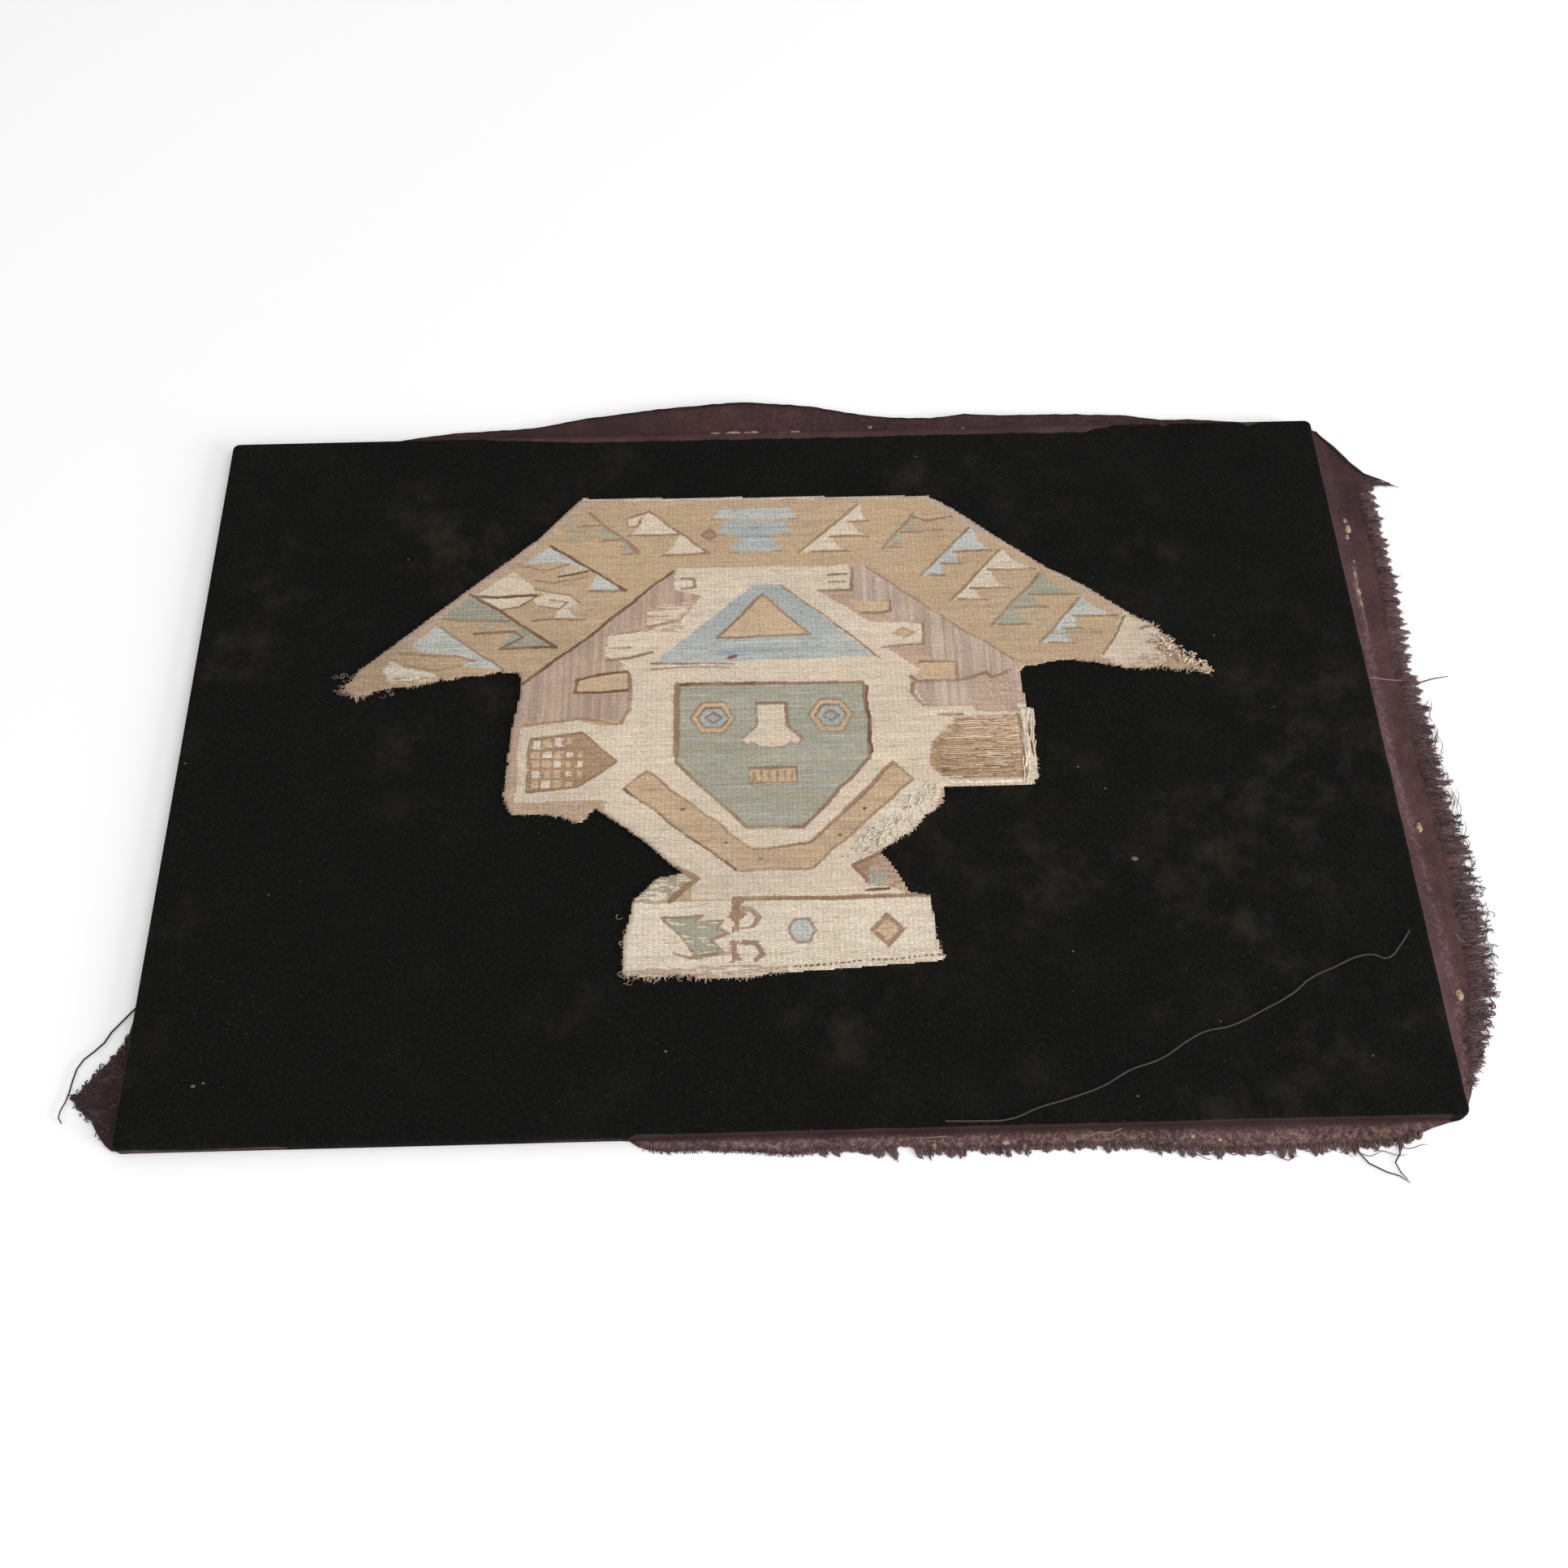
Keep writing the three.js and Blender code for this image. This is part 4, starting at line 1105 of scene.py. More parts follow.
def make_corner_fringe(material):
    """The tuft at the front left corner, gathered to a point, with curls over it."""
    rng = random.Random(8)
    yarns = Strands("corner_fringe_yarn", material)
    for _ in range(2):
        add_tufts(yarns, "left", -146.5, -117, 0.9, rng, tones=(-0.5, 0.35), overlap=9, gather_at=-134)
    for _ in range(260):
        along = rng.uniform(-148, -112)
        reach, tips, _ = margin_at("left", along)
        out = mix(1.0, max(reach, tips - 3), rng.random())
        x, y = side_place("left", along, out)
        height = margin_height("left", along, max(out, WALL_OUT)) + 0.25
        yarns.add(loop_path(x, y, height, rng.uniform(0.6, 1.5), rng.uniform(2, 4.5), rng),
                  rng.uniform(0.18, 0.28), rng.uniform(-0.7, 0.5))
    for stray in STRAY_THREADS["left"]:
        yarns.add([(x, y, 1.1) for x, y in stray], 0.36, -0.3)
    return yarns.make()


# Threads and specks on the loose margins

GLUE_HALF_HEIGHT = 0.35
LINT_HALF_HEIGHT = 0.2
MARGIN_THREADS = [
    # side, route, radius, tone
    ("right", [(228.7, 23.6), (233, 24.6), (238, 23.9), (244, 23.2), (249.6, 22.2)], 0.3, 0.9),
    ("right", [(240.7, -84.5), (241.4, -87.0), (243.4, -88.6), (245.6, -88.2)], 0.2, 1.0),
    ("front", [(97.5, -155.6), (100.5, -156.4), (104, -155.2), (108, -155.6), (111.3, -154.4)],
     0.24, 0.9),
    ("front", [(38, -155.2), (45, -155.7), (52, -155.4)], 0.2, 0.8),
]
GLUE_SPECKS = [
    # side, x, y, half length along the side, half width
    ("right", 236.2, 102.4, 1.2, 0.9), ("right", 236.6, 98.0, 2.4, 1.3),
    ("right", 235.4, 94.0, 1.5, 1.0), ("right", 235.8, 81.6, 1.0, 0.7),
    ("right", 235.2, 75.0, 1.6, 0.6), ("right", 234.9, 66.4, 2.2, 0.9),
    ("right", 234.8, 60.6, 2.0, 0.7), ("right", 236.8, -41.7, 2.2, 1.2),
    ("right", 237.1, -108.5, 2.6, 1.4), ("right", 247.2, 108.5, 0.7, 0.5),
    ("front", 72.0, -157.9, 1.4, 0.9), ("front", 78.8, -159.6, 1.6, 1.1),
    ("front", 95.3, -158.3, 0.8, 0.7), ("front", 135.6, -157.3, 0.9, 0.8),
    ("front", 144.5, -158.7, 0.7, 0.6), ("front", 48.0, -158.6, 0.9, 1.3),
    ("back", -24.5, 155.6, 2.6, 1.5), ("back", -17.0, 156.4, 3.6, 1.3),
    ("back", -9.0, 156.2, 3.8, 1.2), ("back", -1.5, 155.0, 3.0, 1.1),
    ("back", 4.0, 155.0, 3.6, 1.2), ("back", 9.6, 155.9, 2.6, 1.3),
    ("back", 41.7, 158.2, 1.0, 1.1), ("back", 81.5, 156.2, 0.7, 0.7),
]
FACE_SPECKS = [
    # x, y, radius
    (-204.9, -132.2, 0.9), (-201.5, -131.2, 0.6), (-226.6, -3.7, 0.5), (128.1, -53.9, 1.3),
    (-43.1, -123.9, 0.6), (111.6, -14.6, 0.5), (120.8, -24.3, 0.5), (101.5, -90.3, 0.5),
    (171.9, 43.8, 0.5), (200.4, -131.9, 0.5), (117.7, -144.2, 0.5), (-150, 90, 0.4),
    (-188, -60, 0.4), (60, 138, 0.4), (150, -118, 0.4), (190, 10, 0.4),
]
GLUE_LINE = [(235.3, 79), (234.9, 73), (234.3, 67.7), (234.5, 61.3), (234.4, 47.5), (233.4, 36)]


def make_margin_threads(material):
    """Single threads of the cloth that lie loose on its margins."""
    yarns = Strands("margin_threads", material, taper=0.2)
    for side, places, radius, tone in MARGIN_THREADS:
        yarns.add(lay_on_margin(side, places, 0.5 * radius), radius, tone)
    return yarns.make()


def add_speck(bm, x, y, z, half_x, half_y, half_z):
    """A lumpy, flattened ball."""
    made = bmesh.ops.create_icosphere(bm, subdivisions=2, radius=1.0)["verts"]
    for vert in made:
        lump = 1 + 0.35 * noise.noise(vert.co * 1.7 + Vector((x, y, 0)))
        vert.co = Vector((vert.co.x * half_x * lump, vert.co.y * half_y * lump, vert.co.z * half_z))
        vert.co = at(x + vert.co.x, y + vert.co.y, z + vert.co.z)


def make_glue():
    """Specks of dried glue on the loose margins."""
    bm = bmesh.new()
    for side, x, y, half_along, half_out in GLUE_SPECKS:
        if side == "right":
            height = margin_height(side, y, x - HALF_LENGTH)
            add_speck(bm, x, y, height, half_out, half_along, GLUE_HALF_HEIGHT)
        else:
            height = margin_height(side, x, abs(y) - HALF_WIDTH)
            add_speck(bm, x, y, height, half_along, half_out, GLUE_HALF_HEIGHT)
    return add_piece("dried_glue", bm, glue_material())


def make_lint():
    """Specks of lint on the black face."""
    bm = bmesh.new()
    for x, y, radius in FACE_SPECKS:
        add_speck(bm, x, y, CLOTH_TOP + 0.05, radius, 0.7 * radius, LINT_HALF_HEIGHT)
    return add_piece("lint_specks", bm, lint_material())


def make_glue_line(material):
    """A long line of glue along the right margin, as two threads side by side."""
    yarns = Strands("glue_line", material, taper=0.6)
    for shift in (-0.45, 0.45):
        path = [(x + shift, y, margin_height("right", y, x - HALF_LENGTH) - 0.3) for x, y in GLUE_LINE]
        yarns.add(path, 0.6, 0.6)
    return yarns.make()


# The tapestry's chart. It is drawn here in millimetres, area by area, and woven into cells.

CELL_WIDTH = 0.9
CELL_HEIGHT = 0.55
CHART_LOW = (-177.3, -101.2)
CHART_HIGH = (169.2, 122.1)
FRAY_STEP = 4.5
CALM_FRAY = 0.6

# The sheet's upper side swells a little and droops along the torn edge
SURFACE_SINK = 0.1
SURFACE_SWELL = 0.08
EDGE_DROOP = 0.45
DROOP_WIDTH = 1.6
HEM_RISE = 0.05

FAR_AWAY = 1e9

# The torn edge, clockwise: x, y and how rough the edge is from there to the next place
TORN_EDGE = [
    (-80, 118.6, 0.3), (63, 116.2, 0.35), (74.2, 108, 0.35), (91.1, 92.9, 0.3), (108.2, 78.4, 0.35),
    (121.4, 69.8, 0.4), (131.7, 61.2, 0.5), (139.6, 54.3, 0.9), (148, 49.8, 1.0), (152.7, 43.6, 1.2),
    (158.7, 34.5, 1.2), (167.5, 26.3, 1.2), (153, 28, 1), (137, 29.2, 0.8), (115, 33.6, 0.6),
    (96, 31.5, 0.4), (93.2, 28, 0.3), (94.5, 12, 0.3), (96.8, 11.1, 0.5), (96.6, -18, 0.8),
    (93.8, -22, 0.3), (60, -22.2, 0.5), (59.8, -28, 0.8), (52.5, -34.5, 0.8), (44.5, -42.5, 0.8),
    (34.8, -48.8, 0.5), (40.5, -57.2, 0.4), (44.3, -65.5, 0.3), (51.8, -67.2, 0.5), (53.4, -84, 0.8),
    (56.2, -92.5, 0.3), (0, -95.8, 0.9), (-27, -97.6, 1.1), (-59, -95.6, 0.6), (-57.8, -78, 0.6),
    (-55, -66, 0.5), (-46.5, -57.5, 0.4), (-37.5, -56, 0.5), (-51.4, -42.4, 0.5), (-70, -28, 0.7),
    (-75, -34, 0.8), (-92, -29.5, 0.6), (-101.6, -29.6, 0.8), (-105, -21.5, 0.5), (-103, 9, 0.4),
    (-100.4, 25, 0.3), (-101.5, 33.2, 0.5), (-110, 34, 0.7), (-137, 29.5, 0.9), (-153, 27.2, 1.0),
    (-160.3, 24.6, 1.2), (-167.3, 24.8, 1.2), (-170.6, 28.2, 0.9), (-161, 39, 0.5), (-146, 52.8, 0.35),
    (-122, 75.4, 0.35), (-104, 91.8, 0.3), (-97, 98.1, 0.3), (-88.7, 108.4, 0.3),
]

# The yarns: colour, how much neighbouring picks differ, how much single stitches differ, and
# which way the threads run (0 along x, 1 along y)
YARNS = {
    "tan": ((0.475, 0.335, 0.205), 0.05, 0.09, 0),
    "light_tan": ((0.54, 0.385, 0.24), 0.05, 0.09, 0),
    "cream": ((0.63, 0.525, 0.40), 0.06, 0.09, 0),
    "pale": ((0.652, 0.557, 0.435), 0.05, 0.10, 0),
    "white": ((0.70, 0.62, 0.50), 0.06, 0.10, 0),
    "light_blue": ((0.37, 0.395, 0.375), 0.08, 0.10, 0),
    "blue_white": ((0.47, 0.475, 0.435), 0.09, 0.10, 0),
    "sky": ((0.44, 0.45, 0.405), 0.07, 0.09, 0),
    "deep_blue": ((0.31, 0.345, 0.35), 0.08, 0.10, 0),
    "grey_green": ((0.335, 0.315, 0.24), 0.08, 0.11, 0),
    "face_blue": ((0.355, 0.334, 0.258), 0.08, 0.08, 0),
    "lilac": ((0.415, 0.298, 0.228), 0.15, 0.07, 1),
    "pale_lilac": ((0.46, 0.35, 0.278), 0.15, 0.07, 1),
    "pink": ((0.46, 0.315, 0.225), 0.07, 0.10, 0),
    "edge": ((0.47, 0.345, 0.265), 0.06, 0.10, 0),
    "brown": ((0.21, 0.115, 0.058), 0.08, 0.12, 0),
    "rose_brown": ((0.345, 0.215, 0.135), 0.08, 0.12, 0),
    "ear_brown": ((0.365, 0.235, 0.135), 0.12, 0.14, 0),
}
SOIL = (0.36, 0.25, 0.18)

# The outlines: how dark they are, how wide, and how far from them their distance is kept
DARK = 1.0
SOFT = 0.6
FAINT = 0.35
LINE_WIDTH = 1.2
LINE_REACH = 1.6
NO_LINE = 3.0


def inside(points, x, y):
    found = np.zeros(x.shape, bool)
    for (x1, y1), (x2, y2) in zip(points, points[1:] + points[:1]):
        if y1 == y2:
            continue
        crosses = ((y1 > y) != (y2 > y)) & (x < (x2 - x1) * (y - y1) / (y2 - y1) + x1)
        found ^= crosses
    return found


def segment_distance(start, end, x, y):
    (x1, y1), (x2, y2) = start, end
    length_squared = (x2 - x1) ** 2 + (y2 - y1) ** 2
    along = ((x - x1) * (x2 - x1) + (y - y1) * (y2 - y1)) / length_squared
    along = np.clip(along, 0, 1)
    return np.hypot(x - x1 - along * (x2 - x1), y - y1 - along * (y2 - y1))


def line_distance(points, x, y):
    nearest = np.full(x.shape, FAR_AWAY)
    for start, end in zip(points, points[1:]):
        nearest = np.minimum(nearest, segment_distance(start, end, x, y))
    return nearest


def smooth_field(shape, spacing, rng):
    """Slowly changing random numbers over the chart, from -1 to 1."""
    rows, columns = shape
    coarse = rng.uniform(-1, 1, (int(rows / spacing) + 3, int(columns / spacing) + 3))
    v = np.arange(rows)[:, None] / spacing
    u = np.arange(columns)[None, :] / spacing
    i, j = v.astype(int), u.astype(int)
    a, b = v - i, u - j
    a, b = a * a * (3 - 2 * a), b * b * (3 - 2 * b)
    top = coarse[i, j] * (1 - b) + coarse[i, j + 1] * b
    bottom = coarse[i + 1, j] * (1 - b) + coarse[i + 1, j + 1] * b
    return top * (1 - a) + bottom * a


def cell_middles(posts):
    return (posts[:-1, :-1] + posts[1:, :-1] + posts[:-1, 1:] + posts[1:, 1:]) / 4


class Chart:
    """The weave, painted area by area in cells, with the outlines as distances at the cells'
    corners. Edges wander a little, as a weaver's do."""

    def __init__(self):
        self.rng = np.random.default_rng(41)
        self.columns = round((CHART_HIGH[0] - CHART_LOW[0]) / CELL_WIDTH)
        self.rows = round((CHART_HIGH[1] - CHART_LOW[1]) / CELL_HEIGHT)
        x = CHART_LOW[0] + np.arange(self.columns + 1) * CELL_WIDTH
        y = CHART_LOW[1] + np.arange(self.rows + 1) * CELL_HEIGHT
        self.post_x, self.post_y = np.meshgrid(x, y)
        posts = self.post_x.shape
        self.true_x, self.true_y = cell_middles(self.post_x), cell_middles(self.post_y)
        self.post_x = self.post_x + 0.5 * smooth_field(posts, 9, self.rng)
        self.post_x += 0.22 * smooth_field(posts, 3, self.rng)
        self.post_y = self.post_y + 0.5 * smooth_field(posts, 12, self.rng)
        per_pick = self.rng.uniform(-0.3, 0.3, (self.rows, 1))
        self.x = cell_middles(self.post_x) + per_pick
        self.y = cell_middles(self.post_y)
        self.names = list(YARNS)
        self.yarn = np.full(self.x.shape, self.names.index("tan"))
        self.gap = np.full(posts, NO_LINE)
        self.tone = np.zeros(posts)

    def fill(self, yarn, points, tone=None, width=LINE_WIDTH):
        """An area of one yarn, which covers what is under it and may have an outline."""
        self.yarn[inside(points, self.x, self.y)] = self.names.index(yarn)
        self.gap[inside(points, self.post_x, self.post_y)] = NO_LINE
        if tone:
            self.line(tone, points + points[:1], width)

    def band(self, yarn, points, width):
        """A strip of one yarn along a line."""
        near = line_distance(points, self.x, self.y) < width / 2
        self.yarn[near] = self.names.index(yarn)

    def line(self, tone, points, width=LINE_WIDTH):
        """An outline of the dark yarn."""
        gap = line_distance(points, self.post_x, self.post_y) - width / 2
        near = (gap < self.gap) & (gap < LINE_REACH)
        self.gap[near] = gap[near]
        self.tone[near] = tone

    def fleck(self, yarn, points, share):
        """Single stitches of another yarn, scattered through an area."""
        area = inside(points, self.x, self.y) & (self.rng.uniform(0, 1, self.x.shape) < share)
        self.yarn[area] = self.names.index(yarn)

    def streak(self, yarn, points, share, run=7):
        """Short runs of another yarn along the picks of an area."""
        chances = self.rng.uniform(0, 1, (self.rows, self.columns // run + 2))
        runs = np.repeat(chances, run, axis=1)
        start = self.rng.integers(0, run, self.rows)
        for row in range(self.rows):
            runs[row] = np.roll(runs[row], start[row])
        area = inside(points, self.x, self.y) & (runs[:, :self.columns] < share)
        self.yarn[area] = self.names.index(yarn)


def saw(chart, yarn, top, foot, teeth, side, band, tone=SOFT):
    """A stepped saw that hangs from a slanting line, with its teeth to one side. Each tooth has the
    height of its base and its reach."""
    def on_line(height):
        return mix(top[0], foot[0], (top[1] - height) / (top[1] - foot[1]))

    outer = [(top[0] + side * 1.2, top[1])]
    bases = []
    for base, reach in teeth:
        line = on_line(base)
        tip = (line + side * reach, base)
        start = outer[-1]
        knee = (mix(start[0], tip[0], 0.42), mix(start[1], tip[1], 0.6))
        outer += [knee, tip, (line + side * band, base + 0.3)]
        bases.append([(tip[0] + side * 1.5, base - 0.3), tip, (line + side * band * 0.8, base + 0.2)])
    chart.fill(yarn, [top] + outer + [foot])
    for base in bases:
        chart.line(tone, base)
    chart.line(tone, [top, foot], 1.25)


def stack(chart, centre, rows):
    """Stacked trapezoids. Rows: yarn, upper and lower edge, half widths there."""
    for yarn, upper, lower, upper_half, lower_half in rows:
        chart.fill(yarn, [(centre - upper_half, upper), (centre + upper_half, upper),
                          (centre + lower_half, lower), (centre - lower_half, lower)])
        for side in (-1, 1):
            corner = centre + side * lower_half
            chart.line(FAINT, [(corner, lower), (corner - 4 * side, lower)], 1.0)


def hexagon(centre, half_width, half_height):
    x, y = centre
    return [(x - half_width, y), (x - half_width / 2, y + half_height),
            (x + half_width / 2, y + half_height), (x + half_width, y),
            (x + half_width / 2, y - half_height), (x - half_width / 2, y - half_height)]


def diamond(centre, half_width, half_height):
    x, y = centre
    return [(x - half_width, y), (x, y + half_height), (x + half_width, y), (x, y - half_height)]


def box(low_x, low_y, high_x, high_y):
    return [(low_x, low_y), (high_x, low_y), (high_x, high_y), (low_x, high_y)]


def paint_headdress(chart):
    """The wide tan headdress, with stepped figures from its left slope round to its right one."""
    slope = [(-176, 26), (-161, 39.5), (-146, 52.8), (-122, 75.4), (-104, 91.8), (-88.9, 108.6),
             (-80.2, 118.8)]
    chart.band("edge", slope, 7.4)
    chart.band("edge", [(63, 116.4), (91.2, 93), (121.5, 70), (139, 54.5)], 5.6)
    chart.band("pale", [(-81, 119.3), (63, 116.8)], 4.4)
    chart.streak("edge", box(-82, 114, 64, 120), 0.35, 10)
    chart.fill("tan", [(-168, 33), (-150, 47), (-140, 44), (-150, 30), (-165, 27)])
    chart.fill("white", [(-153, 40), (-148, 37), (-135, 33.4), (-133, 31.2), (-146, 28.4), (-152, 29.5),
                         (-155, 35)])
    chart.streak("tan", box(-150, 27, -132, 32), 0.4, 4)
    chart.fill("blue_white", [(-135, 56), (-145, 46.5), (-141, 43.4), (-126, 41.4), (-120, 38.4),
                              (-125, 36.6), (-108, 33.8)])
    chart.line(SOFT, [(-149, 42.8), (-133, 41.2), (-126, 41), (-119, 38.4)])
    chart.line(FAINT, [(-147, 38), (-136, 34.8), (-124, 36.4)], 1.1)
    chart.line(SOFT, [(-135, 56), (-108, 34)], 1.25)
    chart.fill("grey_green", [(-123, 71), (-133, 60), (-130, 58.6), (-114, 57.6), (-121, 51.8),
                              (-105, 52.6), (-110, 44.8), (-88, 44)])
    chart.fill("tan", [(-112, 57), (-101, 53.2), (-118, 53)])
    chart.line(SOFT, [(-133, 59), (-120, 58), (-107, 57.4)])
    chart.line(DARK, [(-121, 51.6), (-105, 52.4), (-101, 49.4), (-110, 44.4), (-88, 44)])
    chart.line(DARK, [(-123, 71), (-111, 62.5), (-88, 44)], 1.35)
    chart.fill("cream", [(-107, 82), (-113, 77), (-121, 70.4), (-96, 70.4), (-98, 74), (-102, 78.4)])
    chart.fill("cream", [(-119, 69), (-97, 68.6), (-103, 64.6), (-111, 63)])
    chart.line(DARK, [(-122, 70), (-112, 69.3), (-96, 69.8)], 1.3)
    chart.line(SOFT, [(-119, 68.6), (-111, 62.8), (-103, 64.2), (-97, 68.6)], 1.1)
    chart.fill("cream", [(-97, 72.6), (-83, 69.4), (-80, 65.4), (-84, 62.4), (-80, 58.6), (-89, 58.4),
                         (-87, 62.6), (-95, 64.4), (-98, 67.6), (-93, 70)])
    chart.line(FAINT, [(-97, 72.8), (-83, 69.6), (-79, 66)], 1.0)
    chart.line(SOFT, [(-98, 57.4), (-88, 58), (-76, 57.6)], 1.1)
    chart.line(FAINT, [(-95, 64.2), (-87, 62.4), (-84, 66), (-91, 67.4)], 1.0)
    chart.fill("blue_white", [(-91, 94.4), (-103, 85), (-88, 86.4), (-84, 85), (-88, 79), (-76, 81.4),
                              (-72, 79), (-76, 72), (-61, 71)])
    chart.fill("light_tan", [(-86, 84.5), (-70, 80), (-84, 80)])
    chart.line(FAINT, [(-104, 84.6), (-94, 82), (-84, 85)], 1.0)
    chart.line(FAINT, [(-97, 77), (-90, 75.5), (-76, 78)], 1.0)
    chart.line(DARK, [(-88, 78.6), (-76, 81)], 1.1)
    chart.line(SOFT, [(-76, 71.6), (-61, 71)])
    chart.line(DARK, [(-92, 94.6), (-61, 71)], 1.3)
    saw(chart, "grey_green", (-76, 110), (-56, 89.5), [(104, 9), (96, 7), (89.6, 5)], -1, 2.6, FAINT)
    chart.streak("tan", box(-88, 88, -55, 111), 0.45)
    chart.streak("grey_green", box(-86, 97, -70, 106), 0.15)
    chart.line(SOFT, [(-77, 110.5), (-56, 91)], 1.1)
    saw(chart, "cream", (-52, 111), (-27, 88), [(98.4, 21), (88.3, 18)], -1, 1.4)
    chart.fill("cream", [(-54, 110.5), (-61, 107.5), (-61, 103), (-57, 103.6), (-56, 107)])
    chart.line(SOFT, [(-53, 110.6), (-61, 107.6), (-61, 103), (-56.5, 103.4), (-55.5, 106.6)], 1.1)
    stack(chart, -8.5, [
        ("blue_white", 111, 105.7, 14.5, 17.8),
        ("light_blue", 104.8, 98, 12, 15.5),
        ("deep_blue", 98, 96.3, 9, 6),
        ("light_blue", 96.3, 89, 6, 10.8),
    ])
    chart.fill("tan", diamond((-28.5, 101), 4.6, 5))
    chart.fill("ear_brown", diamond((-27, 98), 3.6, 2.6), SOFT, 1.1)
    saw(chart, "cream", (34, 112), (9, 88), [(103, 12), (95.5, 20), (88.2, 19)], 1, 6)
    saw(chart, "grey_green", (57, 107), (43, 89), [(97, 8), (89.2, 7)], 1, 3, FAINT)
    chart.streak("tan", box(42, 88, 66, 107), 0.35)
    chart.line(SOFT, [(56, 105.5), (62, 103), (73, 104.5)], 1.1)
    chart.line(FAINT, [(60, 97.5), (68, 98.4)], 1.0)
    saw(chart, "blue_white", (79, 99), (58, 75), [(86.5, 18), (80.6, 11), (75, 8)], 1, 4.5)
    saw(chart, "cream", (90.5, 86.5), (69, 62), [(77, 21), (68.4, 17), (62.9, 13)], 1, 3.6)
    saw(chart, "grey_green", (106, 74.6), (84, 50), [(64.6, 22), (58.4, 15), (50.3, 14)], 1, 4.2)
    saw(chart, "blue_white", (121, 63), (103, 41), [(53.4, 20), (47.6, 10), (41, 12)], 1, 4.4)
    chart.streak("grey_green", box(84, 44, 124, 75), 0.08, 8)
    chart.line(FAINT, [(112, 46), (127, 45)], 1.0)
    chart.fill("cream", [(138.5, 56), (126, 34), (137, 28), (150, 30), (158, 40), (150, 52)])
    chart.line(SOFT, [(138, 53), (127, 35)])
    chart.line(SOFT, [(143, 47), (149, 48.6), (153, 45), (150, 40), (145, 40.4)], 1.3)
    chart.streak("tan", [(140, 33), (150, 40), (156, 44), (172, 25), (136, 29)], 0.5, 3)
    chart.streak("rose_brown", [(146, 36), (152, 44), (160, 38), (150, 32)], 0.2, 3)


